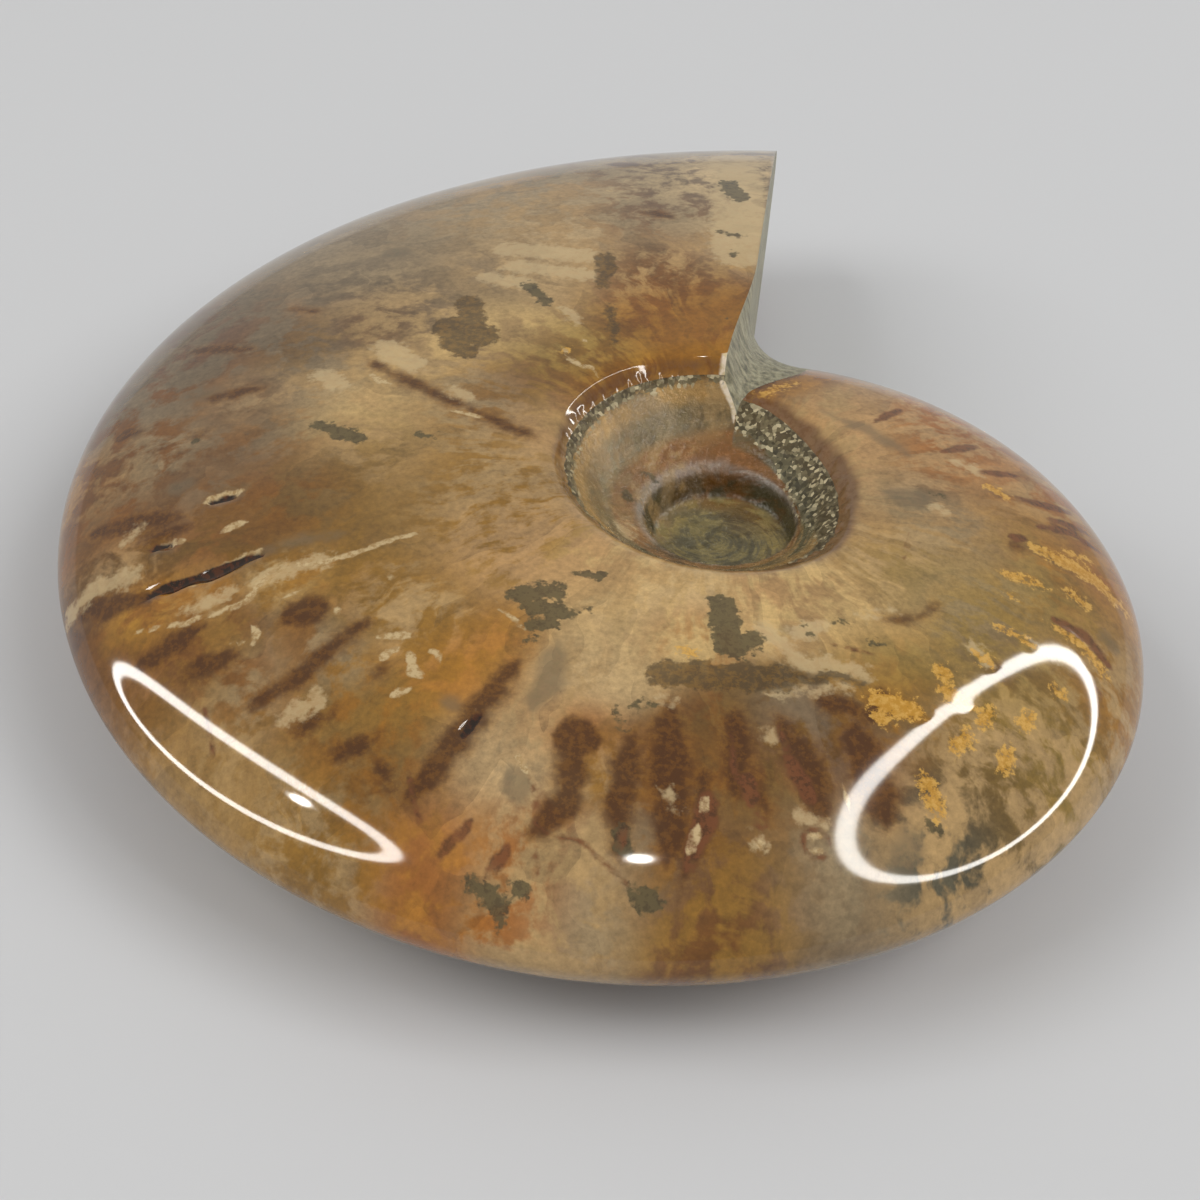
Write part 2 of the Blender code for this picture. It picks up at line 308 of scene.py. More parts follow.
def read_along(surface, row, shares):
    """Points at given shares along a row."""
    places = np.array([surface.points[k] for k in row])
    own = surface.shares(row)
    return np.stack([np.interp(shares, own, places[:, axis]) for axis in range(3)], axis=-1)


def add_aperture_face(surface, edge, foot, corner):
    """The cut across the whorl: straight down from its edge, then out in the fillet to its foot."""
    shares = surface.shares(edge)
    top = np.array([surface.points[k] for k in edge])
    corners = read_along(surface, corner, shares)
    ends = read_along(surface, foot, shares)
    reach = top - corners
    length = np.maximum(np.linalg.norm(reach, axis=1, keepdims=True), 1e-6)
    bend = corners + reach * np.minimum(LARGEST_FILLET, FILLET_HEIGHT / length)
    layers = [top + (bend - top) * k / FACE_LAYERS for k in range(1, FACE_LAYERS + 1)]
    for k in range(1, FILLET_LAYERS):
        t = k / FILLET_LAYERS
        layers.append(bend * (1 - t) ** 2 + corners * 2 * t * (1 - t) + ends * t * t)
    middle = surface.add_points(np.array(layers)[:, 1:-1], 0.0)
    rows = [np.array(edge)]
    rows += [np.array([edge[0], *row, edge[-1]]) for row in middle]
    surface.add_grid(np.array(rows))
    surface.zip_rows(list(rows[-1]), list(foot))


def build_surface():
    surface = Surface()
    end = TAU - fillet_setback(venter_radius(TAU))
    venter_phi = end * row_shares()
    venter = surface.add_points(coil_points(venter_radius(venter_phi), venter_phi, 1), venter_phi)
    upper_edge, upper_foot = add_side(surface, 1, UPPER_FLANK_COLUMNS, venter)
    lower_edge, lower_foot = add_side(surface, -1, LOWER_FLANK_COLUMNS, venter)
    corner = []
    for side, flank_columns in ((1, UPPER_FLANK_COLUMNS), (-1, LOWER_FLANK_COLUMNS)):
        count = WALL_COLUMNS + RIM_COLUMNS + flank_columns
        radii = whorl_radii(np.full(count, TAU), flank_columns)[MEETING_COLUMN:]
        radii = np.append(radii, venter_radius(TAU))
        corner.append(surface.add_points(coil_points(radii, np.full(len(radii), TAU), side), TAU))
    edge = [*upper_edge, *lower_edge[-2::-1]]
    foot = [*upper_foot, *lower_foot[-2::-1]]
    face_start = len(surface.faces)
    add_aperture_face(surface, edge, foot, [*corner[0], *corner[1][-2::-1]])
    return surface, face_start


# The stones' colours as the eye meets them on the polished face, with some painted shade and painted highlights
STONES = {
    "beige": "#C3A87C",
    "cream": "#D8C69E",
    "warm_cream": "#CDB486",
    "pinkish_cream": "#B89B6E",
    "pale_tan": "#C0A068",
    "tan": "#A8895A",
    "pinkish_tan": "#AE8858",
    "haze_tan": "#94805F",
    "grey_brown": "#75634A",
    "mauve_brown": "#684831",
    "flank_brown": "#80562C",
    "brown": "#6E430E",
    "red_brown": "#4A2408",
    "dark_brown": "#462502",
    "rib_fleck": "#5E3706",
    "rust_brown": "#734220",
    "rust_dark": "#4C2A12",
    # Painted shade inside the slots, deep pits in the polished face
    "slot_painted_shade": "#241406",
    "amber": "#7A4A10",
    "honey": "#8B6420",
    "golden": "#97671C",
    "orange": "#A06A22",
    "orange_brown": "#94591C",
    "ochre": "#C48E2C",
    "bright_ochre": "#D8A850",
    "ochre_olive": "#7B5A1C",
    "olive_gold": "#8F7434",
    "olive_brown": "#6B4E1E",
    "dark_olive": "#4C3A1E",
    "olive_grey": "#574D30",
    "grey_green": "#55503E",
    "dark_grey": "#3A3420",
    "floor_stone": "#94824E",
    "floor_grey": "#736A48",
    # Dark grey-green stone of the inner whorl's wall, darkened with painted shade for its recess under the
    # shoulder
    "inner_wall_grey_and_shade": "#3F3A24",
    # A painted lilac-grey highlight along the inner whorl's glossy shoulder
    "shoulder_painted_highlight": "#8E8276",
    "seam_green": "#5E5A40",
    "wall_gold": "#B08C52",
    # A painted pinkish-white highlight along the aperture's rounded lip at the umbilical rim
    "lip_painted_highlight": "#EBDCC6",
    "crust_pale": "#CBBF9C",
    "crust_grey": "#6C654C",
    "crust_dark": "#2E2A1C",
    "matrix_pale": "#B9B294",
    "matrix_dark": "#5C5A48",
}

# Soft changes of stone over the upper flank: x, y and reach in mm, the body's stone, its flecks', their share
SHELL_ZONES = [
    (0, 44, 5, "beige", "grey_brown", 0.3), (-5, 34, 4, "haze_tan", "mauve_brown", 0.4),
    (-8, 52, 5, "haze_tan", "mauve_brown", 0.3), (-14, 32, 4, "pinkish_cream", "tan", 0.5),
    (1, 30, 3, "beige", "tan", 0.3), (-4, 20, 3.5, "amber", "golden", 0.35),
    (-4, 27, 3, "brown", "tan", 0.4), (0, 16, 2.5, "golden", "amber", 0.3),
    (-7, 24, 2.5, "brown", "tan", 0.4), (-13, 25, 3, "pinkish_cream", "tan", 0.4),
    (-12, 12, 2.5, "ochre_olive", "olive_gold", 0.3), (-9, 8, 2.5, "amber", "golden", 0.4),
    (-15, 9, 2, "brown", "ochre_olive", 0.4), (-17, 15, 3, "tan", "pale_tan", 0.5),
    (-17, 24, 3.5, "tan", "grey_brown", 0.5), (-23, 19, 3, "grey_brown", "tan", 0.4),
    (-30, 26, 5, "grey_brown", "haze_tan", 0.4), (-30, 36, 6, "haze_tan", "grey_brown", 0.5),
    (-20, 40, 6, "haze_tan", "tan", 0.4), (-38, 18, 5, "grey_brown", "mauve_brown", 0.4),
    (-32, 15, 3, "grey_brown", "olive_brown", 0.5), (-27, 17, 2.5, "brown", "tan", 0.5),
    (-30, 8, 2.5, "haze_tan", "tan", 0.5), (-22, 9, 3, "tan", "pale_tan", 0.4),
    (-35, 7, 2.5, "brown", "haze_tan", 0.5), (-40, 8, 3, "grey_brown", "brown", 0.4),
    (-26, 4, 3, "pale_tan", "tan", 0.4), (-18, 7, 2.5, "haze_tan", "brown", 0.5),
    (-12, 3, 2.5, "pinkish_tan", "tan", 0.3), (-24, -1, 3, "ochre_olive", "tan", 0.4),
    (-33, 2, 3, "grey_brown", "brown", 0.4), (-41, 1, 3, "haze_tan", "brown", 0.5),
    (-45, 1, 2.5, "golden", "brown", 0.4), (-36, -3, 2.5, "brown", "grey_brown", 0.4),
    (-42, -5, 2.5, "brown", "amber", 0.45), (-30, -5, 3, "amber", "olive_brown", 0.5),
    (-34, -8, 2.5, "olive_brown", "amber", 0.4), (-41, -9, 2, "olive_brown", "tan", 0.4),
    (-18, -3, 4, "tan", "honey", 0.4), (-15, -10, 3, "pinkish_tan", "honey", 0.3),
    (-24, -7, 3, "ochre_olive", "olive_brown", 0.4), (-26, -13, 2, "honey", "golden", 0.4),
    (-29, -12.5, 1.5, "pale_tan", "honey", 0.4), (-38.5, -13.5, 1.6, "orange", "ochre", 0.4),
    (-35, -13, 1.2, "orange", "golden", 0.4), (-43, -14, 2.5, "brown", "red_brown", 0.4),
    (-34, -13, 1.5, "golden", "tan", 0.4), (-33, -18, 2.5, "brown", "honey", 0.5),
    (-27, -18.5, 1.8, "haze_tan", "brown", 0.5), (-37, -19, 3, "amber", "brown", 0.5),
    (-30, -21, 2, "amber", "haze_tan", 0.5), (-24, -20.5, 1.5, "haze_tan", "honey", 0.4),
    (-21, -15, 3, "honey", "tan", 0.4), (-32, -27, 3, "honey", "tan", 0.5),
    (-25, -24, 2, "ochre_olive", "brown", 0.4), (-22, -24, 2.5, "honey", "golden", 0.4),
    (-37, -26, 4, "tan", "honey", 0.5), (-26, -30, 3, "tan", "honey", 0.5),
    (-21, -28, 2, "olive_brown", "brown", 0.4), (-17, -21, 1.8, "golden", "orange", 0.4),
    (-14, -28, 2.2, "pinkish_cream", "haze_tan", 0.4), (-14, -18, 1.5, "golden", "orange", 0.4),
    (-12, -25, 1.8, "pinkish_tan", "tan", 0.4), (-8, -20, 2.5, "pinkish_cream", "tan", 0.3),
    (-6, -16, 3, "pale_tan", "pinkish_cream", 0.4), (-3, -18, 1.6, "pale_tan", "orange", 0.35),
    (-7.5, -28, 1.3, "tan", "honey", 0.4), (-9, -25.5, 1.2, "orange_brown", "amber", 0.4),
    (-5, -27, 1.5, "amber", "brown", 0.4), (-4, -32, 2, "grey_brown", "brown", 0.5),
    (-1, -24, 1.8, "brown", "olive_brown", 0.5), (1, -28, 2.5, "olive_brown", "brown", 0.5),
    (4, -24, 2, "olive_brown", "grey_brown", 0.5), (-17, -32, 2, "orange_brown", "orange", 0.4),
    (-12, -33, 2, "tan", "orange_brown", 0.4), (-8, -34, 2, "tan", "haze_tan", 0.4),
    (0, -35, 3, "brown", "honey", 0.5), (6, -33, 2.5, "haze_tan", "grey_brown", 0.4),
    (8, -26, 2, "brown", "mauve_brown", 0.5), (8, -14, 2.5, "tan", "pale_tan", 0.4),
    (10, -18, 2, "olive_gold", "honey", 0.3), (10, -22, 2, "golden", "olive_brown", 0.4),
    (12, -9, 3.5, "olive_gold", "tan", 0.45), (12, -30, 3, "grey_green", "tan", 0.5),
    (16, -25, 2.5, "olive_brown", "tan", 0.5), (19, -22, 3, "olive_gold", "tan", 0.5),
    (18, -17, 2.5, "olive_brown", "olive_gold", 0.5), (16, -12, 3, "haze_tan", "olive_gold", 0.4),
    (22, -10, 3, "olive_gold", "honey", 0.4), (9, -4, 3, "pinkish_tan", "tan", 0.3),
    (9, 4, 3, "pinkish_tan", "tan", 0.4), (16, 4, 3, "pinkish_tan", "orange_brown", 0.4),
    (16, -4, 2.5, "pinkish_tan", "haze_tan", 0.4), (13, -1.5, 2, "haze_tan", "grey_green", 0.4),
    (21, 1, 2.5, "orange_brown", "tan", 0.5), (21, -3, 2.5, "olive_gold", "golden", 0.4),
    (26, -4, 3, "orange_brown", "golden", 0.5), (5, -12.5, 2.5, "pinkish_tan", "pale_tan", 0.3),
    (-8, -12.5, 2.5, "pinkish_tan", "pale_tan", 0.3), (25, -15, 3, "golden", "tan", 0.4),
]

# The same inside the umbilicus
UMBILICUS_ZONES = [
    (-9, 4, 1.8, "pinkish_cream", "tan", 0.4), (-9, -1, 1.6, "pinkish_cream", "tan", 0.4),
    (-4.5, 10, 1.5, "tan", "haze_tan", 0.4), (0, 10, 1.5, "brown", "tan", 0.4),
    (-6, -6.5, 1.5, "haze_tan", "grey_green", 0.4), (-7, -3, 0.9, "pinkish_tan", "cream", 0.3),
    (0, 7, 1.3, "flank_brown", "brown", 0.4), (-3.5, 6.2, 1.1, "flank_brown", "tan", 0.3),
    (3, 8, 1.2, "flank_brown", "brown", 0.4), (5.5, 6, 1.4, "grey_green", "dark_grey", 0.3),
    (7, 2, 1.3, "grey_green", "dark_grey", 0.35), (6.5, -4, 1.3, "grey_green", "tan", 0.4),
    (3, -7, 1.2, "mauve_brown", "tan", 0.4), (-2, -7.5, 1.3, "haze_tan", "grey_green", 0.4),
    # The dark_grey zones on the inner whorl's wall are dark stone with painted shade for its recess under the
    # shoulder
    (0, -0.8, 1.9, "floor_stone", "grey_green", 0.5), (0, 5, 0.7, "dark_grey", "brown", 0.4),
    (3.4, 3.4, 0.8, "dark_grey", "brown", 0.4), (-5.4, 1, 0.8, "grey_green", "tan", 0.4),
    (-6.5, 3, 0.9, "grey_green", "haze_tan", 0.4), (2, 2, 0.9, "brown", "dark_brown", 0.5),
]

# Bands of stone up the umbilicus, with painted shade on the inner whorl's wall and a painted highlight on its
# shoulder.
# The places are 0 at its middle, 1 at the floor's edge, 2 at the inner whorl's shoulder, 3 at the seam and 4 at
# the rim
UMBILICUS_BANDS = [
    # The inner whorl's wall, from 1 to 2, is dark stone with painted shade
    (0.0, "floor_grey"), (0.6, "floor_grey"), (0.72, "floor_stone"), (0.93, "floor_stone"), (1.0, "inner_wall_grey_and_shade"),
    # The inner whorl's shoulder, about 2, carries a painted lilac-grey highlight
    (1.75, "inner_wall_grey_and_shade"), (1.95, "shoulder_painted_highlight"), (2.12, "shoulder_painted_highlight"), (2.25, "flank_brown"),
    (2.7, "flank_brown"), (2.85, "seam_green"), (3.3, "seam_green"), (3.5, "wall_gold"), (4.0, "wall_gold"),
]
BAND_SHARE = 0.7  # the rest of the body's colour is the zones'
FLECK_BAND_SHARE = 0.25
FLECK_ZONE_SHARE = 0.6  # flecks inside the umbilicus are darker than their zone's

RING_POINTS = 10


def ring(x, y, radius):
    """Points round a small ringed eye."""
    turns = [TAU * k / RING_POINTS for k in range(RING_POINTS + 1)]
    return [(x + radius * math.cos(turn), y + radius * math.sin(turn)) for turn in turns]


# Marks with a border, each a stroke: half its width, then the points it runs through, all in mm
MARKS = {
    "grey_film": [
        (0.9, (-40, 9.2), (-36.4, 8.2)), (0.45, (-31, -10.1), (-28, -9.4), (-25.6, -8.9)),
        (0.6, (-17.8, -23.2), (-16.5, -24)), (0.9, (-10.9, -18.6), (-11.2, -22.4), (-12.2, -24.2)),
        (0.5, (7.2, 9.5), (10.4, 7.3), (13.2, 4.2)), (1.0, (11, -0.9), (14, -1.2)),
        (0.6, (24.6, -11), (26.4, -11.6)), (0.7, (-38.6, -2), (-36.8, -2.6)), (0.5, (2.6, 40.6), (5, 41)),
        (1.0, (-27.4, 29.3), (-25, 28)), (1.2, (-13.5, -29.4), (-11.8, -29)),
        (0.8, (9.8, -31.6), (11, -29.6)), (0.5, (3.3, -16), (4, -16.6)),
    ],
    "dark_rib": [
        (0.9, (-43.4, -10.9), (-40.6, -12.3), (-37.4, -12.4)), (0.6, (-38, 8), (-33.8, 8.4)),
        (0.5, (-41, 16.4), (-35.5, 14.2)), (0.3, (-33.9, 20.1), (-31.2, 19)),
        (0.2, (-38.5, 3.5), (-36.8, 3.7)), (1.2, (-28.6, -16.3), (-25.6, -15.4)),
        (0.7, (-23, -17), (-26.3, -20.5), (-29.8, -23)), (0.9, (-38, -18), (-33.4, -15.8)),
        (0.8, (-34.6, -19.6), (-31, -18.4)), (0.5, (-26.8, -25), (-24, -23.6)),
        (0.6, (-24, -27), (-21.2, -25.4)), (0.5, (-22.4, -21.6), (-21.2, -20.6)),
        (0.4, (-21, -27.4), (-20, -29.2)),
        (0.9, (-13.2, -20.2), (-14.5, -22.7), (-16, -25.2), (-17.6, -28), (-19.6, -30.2)),
        (1.4, (-10.8, -25.9), (-8, -26.1)), (0.9, (-9.4, -25.2), (-9.7, -30), (-11.8, -32.4)),
        (0.9, (-6, -25.6), (-6.7, -29.4), (-6.5, -33)), (1.1, (-3.9, -23), (-3.6, -33.4)),
        (0.6, (-1.8, -27.6), (-1.6, -31), (-3, -34.4)), (0.8, (0.2, -23.2), (0.2, -29.4)),
        (1.0, (2.6, -23.6), (4.4, -26.6), (5.4, -29.8)), (1.2, (7.2, -23.2), (9.2, -29.6)),
        (0.8, (4.9, -21.9), (7.8, -22.5)), (0.3, (9.6, -14.5), (11.2, -14.6), (12.6, -13.6), (13.4, -12.6)),
        (0.5, (-26.4, 11.1), (-25, 9.7), (-23.2, 8.3), (-21.3, 6.8), (-18.7, 4.8)),
        (0.5, (-18.4, 4.6), (-16, 3), (-13.6, 1.6)), (0.5, (-6.5, 35.4), (-4, 34)),
        (0.8, (-9.5, 49), (-6.6, 48)), (0.6, (-44.6, 6.4), (-42, 5.6)), (0.8, (-44, -4.4), (-37, -5.6)),
        (0.5, (-40.2, -7), (-36, -6.6)), (0.4, (1.5, -27.4), (1.9, -30.4)),
        (0.4, (9.3, -20.6), (8.2, -23.4)), (0.25, (1.8, 11.7), (3.4, 13.3), (5.2, 15), (6.6, 16.8)),
        (0.3, (19.2, -4.6), (20.2, -5.2)), (0.3, (16.6, -16.6), (17.4, -18)),
    ],
    "cream": [
        (2.3, (1.8, 50), (1.5, 27.6)), (1.2, (-17, 28), (-11, 26.6)), (0.9, (-16.6, 25), (-10.8, 23.4)),
        (0.8, (-18.6, 23), (-15.6, 22)), (0.45, (-12.2, 18.1), (-11.1, 16.3)),
        (1.0, (-25.3, 12.8), (-23, 10.2)), (0.5, (-20, 6.9), (-18.6, 6.1)), (0.8, (-29.6, 9.4), (-28.2, 8)),
        (0.7, (-44, -10.6), (-42, -9.8), (-39.8, -10.2)), (0.5, (-34.8, -14.4), (-32.3, -13.3)),
        (0.6, (-30.6, -12.6), (-26.4, -11.4)), (0.5, (-27.2, -23.8), (-25.3, -23)),
        (0.3, (-25.7, -22), (-25.3, -22.7)), (0.7, (3.9, -18.9), (8, -19.6)),
        (0.35, (2.2, -21.9), (3.8, -21.2), (5.2, -21.3), (7, -20.7)), (0.6, (1.8, -16.4), (3.2, -17.8)),
        (0.7, (4.2, -16.4), (5.3, -15.9)), (0.3, (3.9, -30), (5.2, -30.2)),
        (0.4, (2.1, -24.6), (2.3, -25.2)), (0.25, (1.4, -31.5), (1.6, -31.7)),
        (0.4, (15.4, -15.9), (16.6, -16.8)), (0.3, (20.2, -14.6), (21.2, -15.2)),
        (0.2, (-4.6, -22.9), (-3.8, -23)), (0.25, (-3.9, -29.4), (-3.5, -30.2)),
        (0.3, (8.4, -14.6), (10.4, -13.6)), (0.5, (16.9, 4), (18, 3.5)),
        (0.3, (-40.2, -5.6), (-40.8, -6.4)), (0.3, (14.4, -2), (15, -2.6)), (0.5, (-7, -2.4), (-6.8, -3.4)),
    ],
    "brown_patch": [
        (0.8, (-9.4, 26.4), (-9.2, 24.4)), (0.5, (-9.3, 24), (-9.3, 21.8)),
        (0.35, (-8.8, 18.8), (-8.3, 13.6)), (1.1, (-4.2, -20.9), (0, -20.8), (3, -20.5)),
        (0.3, (3.6, -20.2), (5, -20.7), (6.1, -19.8), (8, -20.3)), (1.0, (-19.6, 19.2), (-19, 16.5)),
        (1.5, (-20.6, 15.4), (-18.4, 14.2)), (1.0, (-20.4, 13.4), (-19.2, 12)),
    ],
    "grey_green": [
        (0.8, (-13.6, -14.7), (-11.3, -14.2)), (0.8, (-12.6, -15.8), (-11, -16.2)),
        (0.5, (-12.6, -17.6), (-11, -17)), (0.25, (-12.9, -18.9), (-12.3, -18.2)),
        (0.18, (-10.3, -16.6), (-9.1, -16)), (0.35, (-9.7, -12.5), (-8.4, -12.7)),
        (1.0, (-0.5, -14.7), (-0.2, -18.4)), (0.8, (0.3, -18.4), (1.2, -17.4)),
        (0.6, (-28.8, 2.8), (-27, 2)), (0.6, (-27.2, 1.8), (-25.6, 1.2)), (0.4, (-21.4, 1.5), (-20.8, 1.4)),
        (0.5, (-15.2, 21.8), (-13.6, 18.8)), (0.5, (-14.8, -34.4), (-13.2, -35.5)),
        (0.4, (-12.4, -34.4), (-12, -34.8)), (0.5, (-5.4, -34.8), (-4.6, -35.2)),
        (0.28, (-7.2, -24.2), (-6.4, -24.9)), (0.3, (-5.9, -23.7), (-5, -23.3)),
        (0.38, (9, -16.9), (9.2, -16.9)), (0.25, (6.9, -15.3), (7.3, -15.5)), (0.3, (0, 31.2), (1.9, 30.6)),
        (0.9, (0.8, 42), (1.8, 38.6)), (0.45, (0.9, 27.6), (1.2, 27.5)), (0.25, (14.5, -0.7), (15.1, -0.6)),
        (0.25, (11.7, -29.1), (12.4, -29.3)), (0.2, (4.3, -15.8), (4.4, -15.9)),
        (0.2, (4.9, -16.4), (5, -16.5)), (0.5, (-6.5, -31.8), (-6.4, -32.4)),
        (0.15, (-0.7, 17.6), (0.5, 17.4)), (0.2, (-38, 2.7), (-37.6, 2.8)), (0.35, (-5.4, 4.3), (-5, 4)),
        (0.4, (-6.8, 1.6), (-6.4, 1.2)),
    ],
    "ochre": [
        (0.9, (8.2, -21.3), (11.8, -22)), (0.5, (8.4, -22.5), (9.6, -23)),
        (0.6, (12.8, -17.9), (13.8, -19)), (0.6, (12.8, -19.4), (15, -20.9)),
        (0.6, (11.4, -25.8), (12.5, -28.6)), (0.4, (18.4, 2), (20, 0.6)),
        (0.7, (20.6, -4.4), (23, -5.1), (25.4, -5.4), (28, -7)), (0.3, (23.4, -3.8), (25.4, -3.3)),
        (0.3, (25, -5.8), (27, -6.4)), (0.4, (18.2, -8.2), (21.4, -8.6)),
        (0.3, (18.3, -10.3), (18.9, -10.4)), (0.4, (22.7, -8), (24.6, -9)),
        (0.4, (21, -12), (23.4, -12.7), (25, -14.6)), (0.3, (17.2, -13.5), (18.5, -13.9), (19.8, -14.6)),
        (0.4, (15.4, -16.2), (16.8, -17.2)), (0.5, (13.4, -24.2), (14.6, -22.4)),
        (0.5, (16.5, -24.6), (17.3, -22.8)), (0.4, (18, -21.4), (19.1, -19.8)),
        (0.5, (15.3, -22), (16.3, -20.4)), (0.4, (20.6, -17), (21.6, -18)),
        (0.35, (2.2, 11), (4.2, 12.6), (5.8, 14)), (0.25, (-3.4, -18.6), (-2, -19.4)),
        (0.4, (-12, 12.6), (-11.4, 12)),
    ],
    "rust": [
        (0.14, (-12.1, -28.4), (-11.6, -29.3), (-11.5, -31.2), (-10.8, -31.9)),
        (0.14, (-10.8, -31.9), (-8.7, -32.3), (-7.9, -33), (-5.8, -34.6)),
        (0.13, (-11.5, -32.6), (-11.2, -34)), (0.24, (2.6, -24), (3.3, -26.4)),
        (0.22, (-0.3, -25), (0, -27.6), (0.7, -28.6)), (0.6, (-1.5, -28.8), (-1.8, -31), (-2.7, -33.6)),
        (0.55, (3.2, -26.2), (4.8, -29.2)), (0.16, *ring(4.9, -31.3, 0.8)), (0.12, *ring(1.7, -30.5, 0.45)),
        (0.3, (-6.3, -31.2), (-6.6, -32.8)), (0.4, (11, 8.3), (13.4, 11.2)),
        (0.45, (15.6, 5.2), (18.9, 7.6)), (0.4, (18, 3.3), (21.6, 4.6)),
        (0.45, (20.3, 1), (22.8, 1.4), (25.6, 2.6)), (0.4, (21.5, -2), (24.6, -0.8), (27, -1.5)),
        (0.4, (22.6, -0.4), (26.4, 0.6)), (0.5, (21.2, -11.4), (23.7, -11.9), (25.5, -13.7)),
        (0.5, (19.2, -4.2), (20.8, -3.6)), (0.4, (-15, -31), (-17.4, -33.2)),
        (0.4, (-12.8, -32.4), (-14.2, -34.2)), (0.13, (-19.4, -27.2), (-18.7, -30), (-18, -31.4)),
        (0.12, (12.3, -5.4), (11.6, -8.3)), (0.13, (5.8, -17.3), (9.2, -17.8)),
        (0.2, (-1.2, -28.6), (-1.1, -31), (-2.4, -33.6)), (0.12, (-32.6, -22), (-31.4, -25.4)),
        (0.5, (0.8, -27.6), (1.1, -29.8)), (0.3, (22, -14.4), (24.6, -16.6)),
        (0.4, (-39, -8), (-36.4, -8.1)),
    ],
    "pale_thread": [
        (0.24, (-38.6, -15), (-35, -15.4), (-32, -14.8), (-30.9, -14.3), (-30.4, -12.9), (-29.2, -11.5)),
        (0.24, (-29.2, -11.5), (-27, -11.8), (-24.6, -11), (-22.4, -9.8), (-20.4, -9)),
        (0.18, (-28.9, -14.5), (-27.4, -14.1)),
        (0.18, (-30.7, -16.2), (-29.9, -17.2), (-30.1, -18), (-31.6, -17.7)),
        (0.14, (-25, -15.5), (-24.9, -16.6)), (0.15, (-22.2, -12.8), (-21.7, -13.5)),
        (0.2, (-15.4, -15.2), (-13.8, -16.8), (-12.8, -18.1)), (0.16, (-12.9, -27), (-12.1, -28.4)),
        (0.22, (-12.2, 13), (-10.7, 13.8), (-9.9, 13.2)),
        (0.24, (-12.2, 13), (-11.6, 11.9), (-11.7, 11.3), (-10.7, 10.4), (-9.9, 10.3), (-9.3, 9)),
        (0.25, (-26, 9.3), (-25.2, 8.2), (-23.8, 7.3)), (0.2, (-19.9, 4.5), (-16.9, 3.4)),
        (0.42, (-35.9, -4.4), (-32.9, -3.7)), (0.55, (-37, -12.1), (-34, -11.5), (-30.7, -9.9)),
        (0.3, (-38.6, -7.8), (-36.2, -8.1)), (0.2, (-19, -19.4), (-18.2, -19.8), (-18.1, -20.9)),
        (0.3, (-22, -20.2), (-20.7, -19.1)), (0.3, (-22.5, -18.4), (-19.9, -18.3)),
        (0.34, (-20.1, -19.4), (-19.6, -21.2), (-18.6, -21.8)), (0.28, (-20.9, -22.9), (-19.6, -22.3)),
        (0.35, (-34.2, -7.8), (-32.2, -7)), (0.3, (-9.6, 40.4), (-9, 40)),
        (0.15, (6.6, -27.6), (6.8, -29.8)), (0.14, *ring(4.9, -31.3, 0.5)),
        (0.26, (-1.6, -29.2), (-1.8, -30.6)), (0.28, (-2, -31), (-2.6, -32.8)),
        (0.2, (1.5, -31.6), (1.9, -32.2)),
    ],
    # The slots are real pits; the black drawn in them is painted shade
    "slot": [
        (0.34, (-35.5, -4.45), (-33.3, -3.95)), (0.3, (-38.9, -7.9), (-37, -8)),
        (0.55, (-38.6, -12.2), (-34, -11.4), (-30.6, -10.1)), (0.35, (-16.4, -26), (-15.2, -24.1)),
    ],
}
LENS_MARKS = ["grey_film", "dark_rib", "ochre", "rust", "pale_thread", "slot"]  # come to a point at both ends
FAR_OUTSIDE = -5.0  # mm, for places a long way from any mark

# The unpolished crust at the umbilical rim: half its width at each eighth of the turn, in mm
CRUST_WIDTHS = [0.2, 0.4, 0.5, 0.35, 0.3, 0.5, 1.4, 1.7, 1.6]
CRUST_INSET = 0.6  # its middle lies this share of its half width inside the rim
HALO_WIDTHS = [0.0, 0.1, 0.2, 0.3, 0.7, 0.9, 0.9, 0.8, 0.6]  # dark stain just outside it
HALO_OUT = 0.3  # mm from the rim to the middle of the stain

# Where the flank's stones give way to others, in mm
RIM_BLEND = 0.4
UNDERSIDE_START = 1.5
UNDERSIDE_SPAN = 4.0

# The pattern along the ribs
RIB_SCALE = 30.0  # mm of rib pattern to a radian of the coil, its real spacing half-way round
RIB_SWEEP = 4.0  # mm that the ribs swing forward by on their way to the venter
BOWL_FINENESS = 2.2  # inside the rim the pattern is this much finer outwards
BOWL_ROUND = 3.0  # and this much finer round it

# The painted highlight on the lip where the aperture cuts the rim, in mm
LIP_HIGHLIGHT_REACH = 2.2
LIP_HIGHLIGHT_WIDTH = 0.4

# The fine relief, in mm
SLOT_DEPTH = 0.45
SLOT_EDGE = 0.35
CRUST_RELIEF = 0.16
CRUST_EDGE = 0.3
CRUST_LUMP = 0.9
FLOOR_RELIEF_SHARE = 0.5  # the floor's stone is half as rough as the crust
FLOOR_RELIEF_REACH = 0.6  # past the inner whorl's shoulder
FLOOR_RELIEF_EDGE = 0.5
OCHRE_PIT = 0.03  # the ochre is softer than calcite and polishes away a little
OCHRE_EDGE = 0.6
POLISH_WAVE = 0.035  # the slow waviness that hand polishing leaves
POLISH_WAVE_LENGTH = 9.0


def srgb_to_linear(code):
    """A colour written in hex, as the four linear numbers that a shader takes."""
    parts = [int(code[k:k + 2], 16) / 255 for k in (1, 3, 5)]
    return (*(c / 12.92 if c <= 0.04045 else ((c + 0.055) / 1.055) ** 2.4 for c in parts), 1.0)


